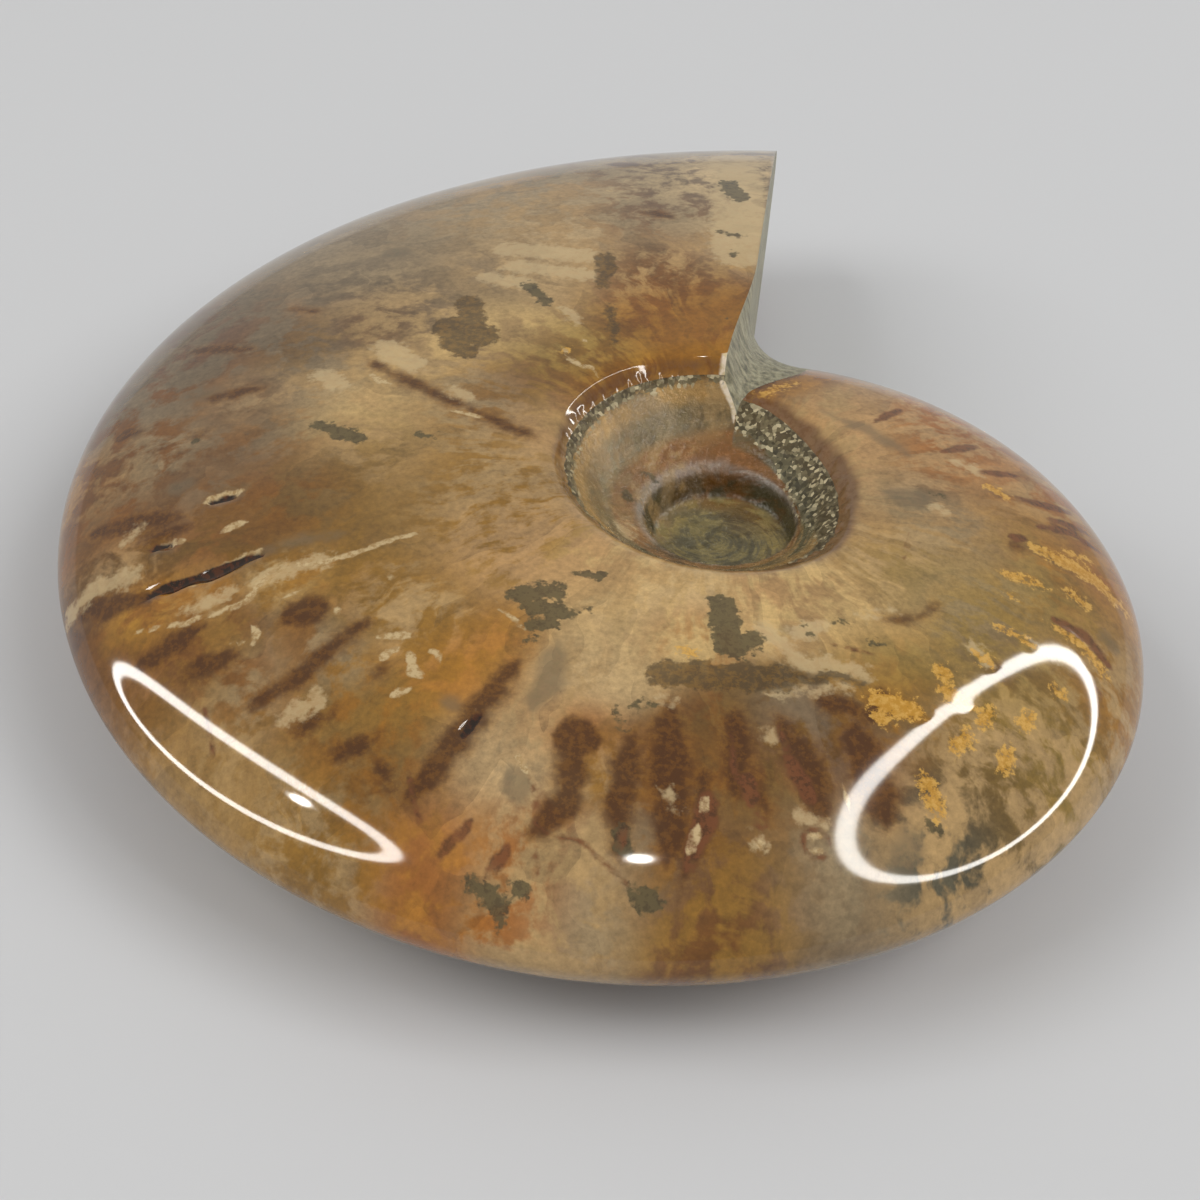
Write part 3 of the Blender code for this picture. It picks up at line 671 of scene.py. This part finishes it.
def stroke_field(x, y, mark, lens):
    """Millimetres inside a stroke's border, negative outside it."""
    half_width, *points = mark
    lengths = [math.dist(a, b) for a, b in zip(points, points[1:])]
    nearest = np.full(x.shape, 1e3)
    place = np.zeros(x.shape)
    run = 0.0
    for (ax, ay), (bx, by), length in zip(points, points[1:], lengths):
        t = np.clip(((x - ax) * (bx - ax) + (y - ay) * (by - ay)) / length**2, 0, 1)
        distance = np.hypot(x - ax - t * (bx - ax), y - ay - t * (by - ay))
        place = np.where(distance < nearest, run + t * length, place)
        nearest = np.minimum(nearest, distance)
        run += length
    taper = np.sqrt(np.clip(1 - (2 * place / run - 1) ** 2, 0, 1)) if lens else 1.0
    return half_width * taper - nearest


def mark_field(x, y, name):
    """The field of all the strokes of one kind together."""
    field = np.full(x.shape, FAR_OUTSIDE)
    for mark in MARKS[name]:
        field = np.maximum(field, stroke_field(x, y, mark, name in LENS_MARKS))
    return field


def zone_stones(x, y, zones):
    """Body colour, fleck colour and fleck share at each place, blended from the zones near it."""
    total = np.full(x.shape, 1e-12)
    mixed = np.zeros((*x.shape, 7))
    for zone_x, zone_y, reach, body, fleck, share in zones:
        # A trace of every zone, so that no place is left without a stone
        weight = np.exp(-((x - zone_x) ** 2 + (y - zone_y) ** 2) / (2 * reach**2)) + 1e-9
        stone = [*srgb_to_linear(STONES[body])[:3], *srgb_to_linear(STONES[fleck])[:3], share]
        mixed += weight[:, None] * np.array(stone)
        total += weight
    return mixed / total[:, None]


def umbilicus_stones(x, y, phi, r):
    """The bands from the floor out to the rim, tinted by the zones: body and fleck colours and fleck share."""
    seam, rim = at_eighths(SEAM_RADII, phi), at_eighths(RIM_RADII, phi)
    steps = [0 * r, FLOOR_RADIUS + 0 * r, shoulder_radius(phi), seam, rim]
    step = sum(np.clip((r - low) / (high - low), 0, 1) for low, high in zip(steps, steps[1:]))
    places, names = zip(*UMBILICUS_BANDS)
    colours = np.array([srgb_to_linear(STONES[name])[:3] for name in names])
    bands = np.stack([np.interp(step, places, colours[:, k]) for k in range(3)], axis=-1)
    stones = zone_stones(x, y, UMBILICUS_ZONES)
    stones[:, :3] = stones[:, :3] * (1 - BAND_SHARE) + bands * BAND_SHARE
    stones[:, 3:6] = stones[:, 3:6] * FLECK_ZONE_SHARE + bands * FLECK_BAND_SHARE
    return stones


def lower_twin(x, y, phi, r):
    """Where on the upper side a place on the lower side takes its stones from: the turn runs the other way."""
    twin_phi = np.clip(TAU - phi, 0, TAU)
    rim, twin_rim = at_eighths(RIM_RADII, phi), at_eighths(RIM_RADII, twin_phi)
    out = (r - rim) / (venter_radius(phi) - rim)
    twin_r = np.where(r > rim, twin_rim + out * (venter_radius(twin_phi) - twin_rim), r * twin_rim / rim)
    azimuth = APERTURE_AZIMUTH + twin_phi
    return twin_r * np.cos(azimuth), twin_r * np.sin(azimuth)


def lip_highlight_field(r, rim, phi):
    """Millimetres inside the border of the lip's painted highlight, negative outside it."""
    rise = 1 - ((r - rim) / LIP_HIGHLIGHT_REACH) ** 2
    width = LIP_HIGHLIGHT_WIDTH * np.sqrt(np.clip(rise, 0, 1))
    return np.where(rise > 0, width - r * np.abs(phi - edge_setback(r)), FAR_OUTSIDE)


def surface_fields(places, phi):
    """Every field that the stones are drawn from, for each point of the surface."""
    x, y, z = places.T
    r = np.hypot(x, y)
    rim = at_eighths(RIM_RADII, phi)
    lower = smooth_step((-z - UNDERSIDE_START) / UNDERSIDE_SPAN)
    twin_x, twin_y = lower_twin(x, y, phi, r)
    inside = smooth_step((rim - r) / RIM_BLEND)[:, None]
    umbilicus = umbilicus_stones(x, y, phi, r) * inside
    upper_stones = zone_stones(x, y, SHELL_ZONES) * (1 - inside) + umbilicus
    lower_stones = zone_stones(twin_x, twin_y, SHELL_ZONES) * (1 - inside) + umbilicus
    stones = upper_stones * (1 - lower[:, None]) + lower_stones * lower[:, None]
    fields = {"body": stones[:, :3], "fleck": stones[:, 3:6], "fleck_share": stones[:, 6]}
    for name in MARKS:
        fields[name] = mark_field(x, y, name) * (1 - lower) + mark_field(twin_x, twin_y, name) * lower
    crust_width = at_eighths(CRUST_WIDTHS, phi)
    fields["crust"] = crust_width - np.abs(r - rim + crust_width * CRUST_INSET)
    fields["halo"] = at_eighths(HALO_WIDTHS, phi) - np.abs(r - rim - HALO_OUT)
    fields["past_rim"] = r - rim
    fields["place_mm"] = places
    rib_angle = phi * RIB_SCALE - RIB_SWEEP * smooth_step(r / venter_radius(phi)) ** 2
    over_shell = np.stack([rib_angle, r - z, 0 * z], axis=-1)
    round_umbilicus = np.stack([BOWL_FINENESS * (r - z), BOWL_ROUND * r * phi, 0 * z], axis=-1)
    fields["rib_way"] = over_shell * (1 - inside) + round_umbilicus * inside
    # Where the painted highlight on the aperture's lip lies
    fields["lip"] = lip_highlight_field(r, rim, phi)
    return fields


def relief(places, fields):
    """How far each point stands out from the smooth shell, in mm."""
    slot = -SLOT_DEPTH * smooth_step(fields["slot"] / SLOT_EDGE + 0.5)
    crust = smooth_step(fields["crust"] / CRUST_EDGE + 0.5)
    to_floor = SHOULDER_RADIUS + FLOOR_RELIEF_REACH - np.hypot(places[:, 0], places[:, 1])
    floor = smooth_step(to_floor / FLOOR_RELIEF_EDGE)
    rough = np.zeros(len(places))
    for k in np.flatnonzero(crust + floor > 0.01):
        rough[k] = noise.fractal(Vector(places[k]) / CRUST_LUMP, 0.7, 2.0, 4) * CRUST_RELIEF
    wave = np.array([noise.noise(Vector(p) / POLISH_WAVE_LENGTH) for p in places]) * POLISH_WAVE
    pits = -OCHRE_PIT * smooth_step(fields["ochre"] / OCHRE_EDGE + 0.5)
    return slot + pits + rough * (crust + FLOOR_RELIEF_SHARE * floor) + wave


def leaned(points):
    """Coil millimetres to metres, in the lean that the fossil rests in."""
    return points @ np.array(REST_LEAN.to_matrix()).T * MM


def outward_mesh(surface, places):
    """The surface as a mesh, every face of it turned outward."""
    data = bpy.data.meshes.new("ammonite")
    data.from_pydata(places.tolist(), [], surface.faces)
    shaped = bmesh.new()
    shaped.from_mesh(data)
    bmesh.ops.recalc_face_normals(shaped, faces=shaped.faces)
    if shaped.calc_volume(signed=True) < 0:
        bmesh.ops.reverse_faces(shaped, faces=shaped.faces)
    shaped.to_mesh(data)
    shaped.free()
    return data


def lay_down(data, surface, places, fields):
    """Adds the relief, sets the fossil down and fits it to the solid's box. Gives the move, in metres."""
    used = np.zeros(len(places), bool)
    used[[c for face in surface.faces for c in face]] = True
    normals = np.zeros(len(places) * 3)
    data.vertex_normals.foreach_get("vector", normals)
    smooth = leaned(places)[used]
    ends = smooth.min(0) + smooth.max(0)
    offset = np.array([-ends[0] / 2, -ends[1] / 2, -smooth[:, 2].min() - GROUND_DEPTH * MM])
    laid = leaned(places + normals.reshape(-1, 3) * relief(places, fields)[:, None]) + offset
    laid[:, 2] = np.maximum(laid[:, 2], 0)
    scale = (np.array(CAD_HIGH) - np.array(CAD_LOW)) / (laid[used].max(0) - laid[used].min(0))
    laid = (laid - laid[used].min(0)) * scale + np.array(CAD_LOW)
    data.vertices.foreach_set("co", laid.reshape(-1))
    return offset


def store_field(data, name, values):
    """Keeps a field on the mesh's points, for the materials to read."""
    if values.ndim == 1:
        kind, part = "FLOAT", "value"
    elif name in ("body", "fleck"):
        kind, part = "FLOAT_COLOR", "color"
        values = np.column_stack([values, np.ones(len(values))])
    else:
        kind, part = "FLOAT_VECTOR", "vector"
    attribute = data.attributes.new(name, kind, "POINT")
    attribute.data.foreach_set(part, np.ascontiguousarray(values, np.float32).reshape(-1))


def drop_loose_points(data):
    """Takes out the points that only helped to draw the fillet."""
    loose = bmesh.new()
    loose.from_mesh(data)
    bmesh.ops.delete(loose, geom=[v for v in loose.verts if not v.link_faces], context="VERTS")
    loose.to_mesh(data)
    loose.free()


def make_ammonite():
    surface, face_start = build_surface()
    places, phi = np.array(surface.points), np.array(surface.angles)
    fields = surface_fields(places, phi)
    data = outward_mesh(surface, places)
    offset = lay_down(data, surface, places, fields)
    for name, values in fields.items():
        store_field(data, name, values)
    for material in (polished_calcite(), umbilicus_stone(), broken_matrix()):
        data.materials.append(material)
    # The polished flank is 0, the umbilicus 1 and the aperture face 2
    inside = fields["past_rim"] < 0
    kinds = [int(all(inside[c] for c in face)) for face in surface.faces[:face_start]]
    kinds += [2] * (len(surface.faces) - face_start)
    data.polygons.foreach_set("material_index", kinds)
    data.shade_smooth()
    data.update()
    piece = bpy.data.objects.new("ammonite_shell", data)
    bpy.context.scene.collection.objects.link(piece)
    drop_loose_points(data)
    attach(piece, "root")
    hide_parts("ammonite")
    return offset


def add(tree, kind, inputs=None, **settings):
    """Adds a shader node with its settings; an input given an output socket is linked to it."""
    node = tree.nodes.new("ShaderNode" + kind)
    for name, value in settings.items():
        setattr(node, name, value)
    for name, value in (inputs or {}).items():
        if isinstance(value, bpy.types.NodeSocket):
            tree.links.new(value, node.inputs[name])
        else:
            node.inputs[name].default_value = value
    return node


# Sizes of the patterns in the stone, in mm
GRAIN = 0.5  # the real grain is finer; it is drawn as coarse as it needs to show
CRUST_GRAIN = 0.28
STREAK_ACROSS = 1.8
STREAK_ALONG = 4.0
STREAK_BEND = 5.0
STREAK_BEND_REACH = 6.0
BLOTCH = 2.4
COARSE_BITE = 1.6
MEDIUM_BITE = 0.8

# Flecks show where the streaks, the blotches and half the fleck share add up to more than this
FLECK_START = 1.10
FLECK_FULL = 1.33

# How dark the stone starts, and how much its crystals, grain and streaks lighten it
SHADE_START = 0.10
CRYSTAL_SHADE = 0.26
GRAIN_SHADE = 1.0
STREAK_SHADE = 0.55
CRYSTALS_PER_STREAK = 0.8
BITE_SWING = 3  # the noise keeps near its middle, so a border's bites are drawn this much deeper

# Bordered stones, and the painted shade in the slots and the painted highlight on the lip, in the order they
# lie over
# each other: field, colour, colour of its specks, ragged edge in mm, how coarse the edge's bites are, softness
# of the edge in mm, how much it covers
STONE_LAYERS = [
    ("grey_film", "grey_brown", "grey_green", 0.6, "coarse", 0.5, 0.55),
    ("dark_rib", "amber", "golden", 0.5, "coarse", 1.1, 0.6),
    ("dark_rib", "dark_brown", "rib_fleck", 0.5, "coarse", 0.45, 0.85),
    ("cream", "warm_cream", "beige", 0.8, "medium", 0.35, 0.62),
    ("brown_patch", "dark_olive", "olive_brown", 0.6, "medium", 0.2, 0.8),
    ("grey_green", "olive_grey", "dark_grey", 0.7, "medium", 0.15, 0.85),
    ("ochre", "ochre", "bright_ochre", 0.9, "fine", 0.2, 0.8),
    ("rust", "rust_brown", "rust_dark", 0.2, "medium", 0.16, 0.85),
    ("pale_thread", "warm_cream", "tan", 0.2, "medium", 0.10, 0.85),
    # Painted shade inside the slot pits
    ("slot", "slot_painted_shade", "red_brown", 0.12, "medium", 0.08, 1.0),
    ("halo", "mauve_brown", "red_brown", 0.5, "coarse", 0.5, 0.75),
    # A painted highlight along the aperture's lip
    ("lip", "lip_painted_highlight", "cream", 0.1, "medium", 0.12, 0.9),
]


def stone_grain(tree):
    """Places on the stone in mm, and the finest grain there."""
    place = add(tree, "Attribute", attribute_name="place_mm").outputs["Vector"]
    grain = add(tree, "TexNoise", {"Vector": place, "Scale": 1 / GRAIN, "Detail": 3.0, "Roughness": 0.7})
    return place, grain.outputs["Fac"]


def stone_colour(tree, place, grain):
    """The colour of the cut stone: zones with flecks, streaks along the ribs, and the bordered marks."""
    rib_way = add(tree, "Attribute", attribute_name="rib_way").outputs["Vector"]
    body = add(tree, "Attribute", attribute_name="body").outputs["Color"]
    fleck = add(tree, "Attribute", attribute_name="fleck").outputs["Color"]
    share = add(tree, "Attribute", attribute_name="fleck_share").outputs["Fac"]
    # Flecks, drawn out along the ribs
    bend = add(tree, "TexNoise", {"Vector": place, "Scale": 1 / STREAK_BEND, "Detail": 2.0}).outputs["Color"]
    reach = (STREAK_BEND_REACH, STREAK_BEND_REACH, 0.0)
    bend_rib = add(tree, "VectorMath", {0: bend, 1: reach}, operation="MULTIPLY").outputs[0]
    along = add(tree, "VectorMath", {0: rib_way, 1: bend_rib}, operation="ADD").outputs[0]
    fineness = (1 / STREAK_ACROSS, 1 / STREAK_ALONG, 1.0)
    stretched = add(tree, "VectorMath", {0: along, 1: fineness}, operation="MULTIPLY").outputs[0]
    streak = add(tree, "TexNoise", {"Vector": stretched, "Scale": 1.0, "Detail": 4.0, "Roughness": 0.6})
    streak = streak.outputs["Fac"]
    blotch = add(tree, "TexNoise", {"Vector": place, "Scale": 1 / BLOTCH, "Detail": 4.0, "Roughness": 0.62})
    both = add(tree, "Math", {0: streak, 1: blotch.outputs["Fac"]}, operation="ADD").outputs[0]
    level = add(tree, "Math", {0: share, 1: 0.5, 2: both}, operation="MULTIPLY_ADD").outputs[0]
    flecked = add(tree, "MapRange", {"Value": level, "From Min": FLECK_START, "From Max": FLECK_FULL},
                  interpolation_type="SMOOTHSTEP").outputs[0]
    colour = add(tree, "Mix", {0: flecked, 6: body, 7: fleck}, data_type="RGBA").outputs[2]
    # Crystals of the calcite, each a little lighter or darker
    crystal = add(tree, "TexVoronoi", {"Vector": stretched, "Scale": CRYSTALS_PER_STREAK}).outputs["Color"]
    shade = add(tree, "SeparateColor", {0: crystal}).outputs[0]
    shade = add(tree, "Math", {0: shade, 1: CRYSTAL_SHADE, 2: SHADE_START}, operation="MULTIPLY_ADD").outputs[0]
    shade = add(tree, "Math", {0: grain, 1: GRAIN_SHADE, 2: shade}, operation="MULTIPLY_ADD").outputs[0]
    shade = add(tree, "Math", {0: streak, 1: STREAK_SHADE, 2: shade}, operation="MULTIPLY_ADD").outputs[0]
    colour = add(tree, "VectorMath", {0: colour, "Scale": shade}, operation="SCALE").outputs[0]
    coarse = add(tree, "TexNoise", {"Vector": place, "Scale": 1 / COARSE_BITE, "Detail": 3.0})
    medium = add(tree, "TexNoise", {"Vector": place, "Scale": 1 / MEDIUM_BITE, "Detail": 3.0, "Roughness": 0.6})
    bites = {"coarse": coarse.outputs["Fac"], "medium": medium.outputs["Fac"], "fine": grain}
    spotted = add(tree, "MapRange", {"Value": grain, "From Min": 0.46, "From Max": 0.6}).outputs[0]
    # Among the layers, the slots' black is painted shade and the lip's pale band a painted highlight
    for field, stone, specks, ragged, coarseness, softness, cover in STONE_LAYERS:
        depth = add(tree, "Attribute", attribute_name=field).outputs["Fac"]
        edge = add(tree, "Math", {0: bites[coarseness], 1: BITE_SWING * ragged, 2: depth},
                   operation="MULTIPLY_ADD").outputs[0]
        border = BITE_SWING / 2 * ragged
        mask = add(tree, "MapRange", {"Value": edge, "From Min": border - softness,
                                      "From Max": border + softness, "To Max": cover},
                   interpolation_type="SMOOTHSTEP").outputs[0]
        plain, speck = srgb_to_linear(STONES[stone]), srgb_to_linear(STONES[specks])
        over = add(tree, "Mix", {0: spotted, 6: plain, 7: speck}, data_type="RGBA").outputs[2]
        colour = add(tree, "Mix", {0: mask, 6: colour, 7: over}, data_type="RGBA").outputs[2]
    return colour


def new_material(name):
    material = bpy.data.materials.new(name)
    material.use_nodes = True
    return material, material.node_tree, material.node_tree.nodes["Principled BSDF"]


def polished_calcite():
    """Calcite and shell, cut and polished: a deep wet gloss over the stone's colours."""
    material, tree, shader = new_material("polished_calcite")
    tree.links.new(stone_colour(tree, *stone_grain(tree)), shader.inputs["Base Color"])
    shader.inputs["Roughness"].default_value = 0.06
    shader.inputs["IOR"].default_value = 1.58
    return material


def umbilicus_stone():
    """The umbilicus, which the wheel can't reach: natural shell under a thin lacquer, and a granular crust."""
    material, tree, shader = new_material("umbilicus_stone")
    place, grain = stone_grain(tree)
    # The bands paint shade on the inner whorl's wall and a highlight on its shoulder
    colour = stone_colour(tree, place, grain)
    # The crust: light and dark grains of sand, set in at a ragged border
    depth = add(tree, "Attribute", attribute_name="crust").outputs["Fac"]
    sand = add(tree, "TexVoronoi", {"Vector": place, "Scale": 1 / CRUST_GRAIN}).outputs["Color"]
    sand_shade = add(tree, "SeparateColor", {0: sand}).outputs[0]
    edge = add(tree, "Math", {0: sand_shade, 1: 0.4, 2: depth}, operation="MULTIPLY_ADD").outputs[0]
    mask = add(tree, "MapRange", {"Value": edge, "From Min": 0.1, "From Max": 0.3, "To Max": 0.9}).outputs[0]
    crust = add(tree, "ValToRGB", {0: sand_shade}).outputs[0]
    ramp = crust.node.color_ramp
    ramp.elements[0].color = srgb_to_linear(STONES["crust_dark"])
    ramp.elements[1].color = srgb_to_linear(STONES["crust_pale"])
    for position, stone in ((0.35, "dark_grey"), (0.75, "crust_grey")):
        ramp.elements.new(position).color = srgb_to_linear(STONES[stone])
    colour = add(tree, "Mix", {0: mask, 6: colour, 7: crust}, data_type="RGBA").outputs[2]
    tree.links.new(colour, shader.inputs["Base Color"])
    # Lacquer in the hollow is uneven, and the crust is dull
    rough = add(tree, "MapRange", {"Value": grain, "From Min": 0.3, "From Max": 0.7, "To Min": 0.12,
                                   "To Max": 0.35}).outputs[0]
    rough = add(tree, "Mix", {0: mask, 2: rough, 3: 0.6}, data_type="FLOAT").outputs[0]
    tree.links.new(rough, shader.inputs["Roughness"])
    shader.inputs["IOR"].default_value = 1.5
    bump = add(tree, "Bump", {"Height": grain, "Strength": 0.6, "Distance": 0.2 * MM}).outputs[0]
    tree.links.new(bump, shader.inputs["Normal"])
    return material


def broken_matrix():
    """The sawn aperture and the stone at its foot: pale striated sediment, left as cut."""
    material, tree, shader = new_material("broken_matrix")
    place = add(tree, "Attribute", attribute_name="place_mm").outputs["Vector"]
    squeezed = add(tree, "VectorMath", {0: place, 1: (2.5, 2.5, 0.35)}, operation="MULTIPLY").outputs[0]
    layers = add(tree, "TexNoise", {"Vector": squeezed, "Scale": 0.8, "Detail": 6.0, "Roughness": 0.65})
    layers = layers.outputs["Fac"]
    ramp = add(tree, "ValToRGB", {0: layers})
    pale, dark = ramp.color_ramp.elements[1], ramp.color_ramp.elements[0]
    dark.position = 0.35
    dark.color = srgb_to_linear(STONES["matrix_dark"])
    pale.position = 0.68
    pale.color = srgb_to_linear(STONES["matrix_pale"])
    tree.links.new(ramp.outputs[0], shader.inputs["Base Color"])
    shader.inputs["Roughness"].default_value = 0.4
    shader.inputs["IOR"].default_value = 1.5
    bump = add(tree, "Bump", {"Height": layers, "Strength": 0.7, "Distance": 0.3 * MM}).outputs[0]
    tree.links.new(bump, shader.inputs["Normal"])
    return material


# The camera in the coil's frame, in mm
CAMERA_ELEVATION = math.radians(40.17)
CAMERA_ROLL = math.radians(2.84)
CAMERA_DISTANCE = 137.6
CAMERA_ASIDE = -8.53
CAMERA_UP = -2.50
LENS = 57.0
SENSOR = 36.0

# The floor, in metres
FLOOR_SIZE = 4.0
PAPER_GREY = "#D2D3D5"

# The studio's light, in metres
LAMP_DISTANCE = 0.6
SOFTBOX_DISTANCE = 1.2
SOFTBOX_SIZE = 0.7
SOFTBOX_WATTS = 6.4
LAMP_WHITE = "#FFFDF8"
ROOM_WHITE = "#F6F4F0"
ROOM_GLOW = 0.48
HOOP_CORNERS = 64
SOFTBOXES = {"softbox_left": (200, 42), "softbox_right": (-20, 48)}  # azimuth and elevation in degrees

# Lamps that only the polish mirrors: azimuth, elevation, half width, half height, turn and width of the tube,
# all in degrees as the fossil sees them, then the glow
RING_LAMPS = {
    "hoop_left": (190, 31, 27, 12.5, 41, 3.0, 15.0),
    "hoop_right": (0, 40, 28, 26, 0, 2.8, 15.0),
    "bulb_left": (198, 44, 0.8, 0.8, 0, 1.5, 40.0),
    "bulb_front": (271, 71, 0.8, 0.8, 0, 1.5, 40.0),
}


def add_camera(offset):
    back = np.array([0, -math.cos(CAMERA_ELEVATION), math.sin(CAMERA_ELEVATION)])
    level_up = np.array([0, math.sin(CAMERA_ELEVATION), math.cos(CAMERA_ELEVATION)])
    level_right = np.array([1.0, 0, 0])
    cos, sin = math.cos(CAMERA_ROLL), math.sin(CAMERA_ROLL)
    right = cos * level_right + sin * level_up
    up = cos * level_up - sin * level_right
    spot = back * CAMERA_DISTANCE + right * CAMERA_ASIDE + up * CAMERA_UP
    lean = np.array(REST_LEAN.to_matrix())
    columns = [lean @ v for v in (right, up, back)]
    camera = bpy.data.objects.new("camera", bpy.data.cameras.new("camera"))
    bpy.context.scene.collection.objects.link(camera)
    pose = Matrix.Identity(4)
    for k, column in enumerate([*columns, leaned(spot[None])[0] + offset]):
        pose.col[k][:3] = column
    camera.matrix_world = pose
    camera.data.lens = LENS
    camera.data.sensor_width = SENSOR
    camera.data.clip_start = 0.01
    camera.data.clip_end = 20.0
    bpy.context.scene.camera = camera


def add_floor():
    """Pale paper, matt and without a sheen."""
    bpy.ops.mesh.primitive_plane_add(size=FLOOR_SIZE, location=(0, 0, 0))
    floor = bpy.context.object
    floor.name = "floor"
    material, _, shader = new_material("pale_paper")
    shader.inputs["Base Color"].default_value = srgb_to_linear(PAPER_GREY)
    shader.inputs["Roughness"].default_value = 0.9
    shader.inputs["Specular IOR Level"].default_value = 0.0
    floor.data.materials.append(material)


def toward(azimuth, elevation):
    """The unit vector at an azimuth from +X and an elevation, in degrees."""
    a, e = math.radians(azimuth), math.radians(elevation)
    return Vector((math.cos(a) * math.cos(e), math.sin(a) * math.cos(e), math.sin(e)))


def add_ring_lamp(name, azimuth, elevation, across, height, turn, width, glow):
    """A hoop of light that faces the fossil."""
    middle = toward(azimuth, elevation) * LAMP_DISTANCE
    side = Vector((0, 0, 1)).cross(middle).normalized()
    above = middle.cross(side).normalized()
    hoop = bmesh.new()
    loops = []
    for grow in (-width / 2, width / 2):
        half_across = LAMP_DISTANCE * math.tan(math.radians(across + grow))
        half_height = LAMP_DISTANCE * math.tan(math.radians(height + grow))
        loop = []
        for k in range(HOOP_CORNERS):
            angle = TAU * k / HOOP_CORNERS
            flat = Vector((half_across * math.cos(angle), half_height * math.sin(angle)))
            flat = Matrix.Rotation(math.radians(turn), 2) @ flat
            loop.append(hoop.verts.new(middle + side * flat.x + above * flat.y))
        loops.append(loop)
    inner, outer = loops
    for k in range(HOOP_CORNERS):
        n = (k + 1) % HOOP_CORNERS
        hoop.faces.new((inner[k], outer[k], outer[n], inner[n]))
    data = bpy.data.meshes.new(name)
    hoop.to_mesh(data)
    hoop.free()
    lamp = bpy.data.objects.new(name, data)
    bpy.context.scene.collection.objects.link(lamp)
    material, _, shader = new_material(name)
    shader.inputs["Base Color"].default_value = (0, 0, 0, 1)
    shader.inputs["Emission Color"].default_value = srgb_to_linear(LAMP_WHITE)
    shader.inputs["Emission Strength"].default_value = glow
    material.cycles.emission_sampling = "NONE"
    data.materials.append(material)
    lamp.visible_camera = False
    lamp.visible_diffuse = False


def add_softbox(name, azimuth, elevation):
    """A large soft lamp that faces the fossil; the polish mirrors the hoops instead of it."""
    data = bpy.data.lights.new(name, "AREA")
    data.size = SOFTBOX_SIZE
    data.energy = SOFTBOX_WATTS
    lamp = bpy.data.objects.new(name, data)
    lamp.location = toward(azimuth, elevation) * SOFTBOX_DISTANCE
    lamp.rotation_euler = (-lamp.location).to_track_quat("-Z", "Y").to_euler()
    lamp.visible_glossy = False
    bpy.context.scene.collection.objects.link(lamp)


def add_light():
    """Hoops and bulbs for the polish to mirror, softboxes and an even room for the light."""
    world = bpy.data.worlds.new("studio")
    bpy.context.scene.world = world
    world.use_nodes = True
    room = world.node_tree.nodes["Background"]
    room.inputs["Color"].default_value = srgb_to_linear(ROOM_WHITE)
    room.inputs["Strength"].default_value = ROOM_GLOW
    for name, place in SOFTBOXES.items():
        add_softbox(name, *place)
    for name, lamp in RING_LAMPS.items():
        add_ring_lamp(name, *lamp)


def main():
    bpy.context.scene.view_settings.view_transform = "Standard"
    offset = make_ammonite()
    add_camera(offset)
    add_floor()
    add_light()


main()
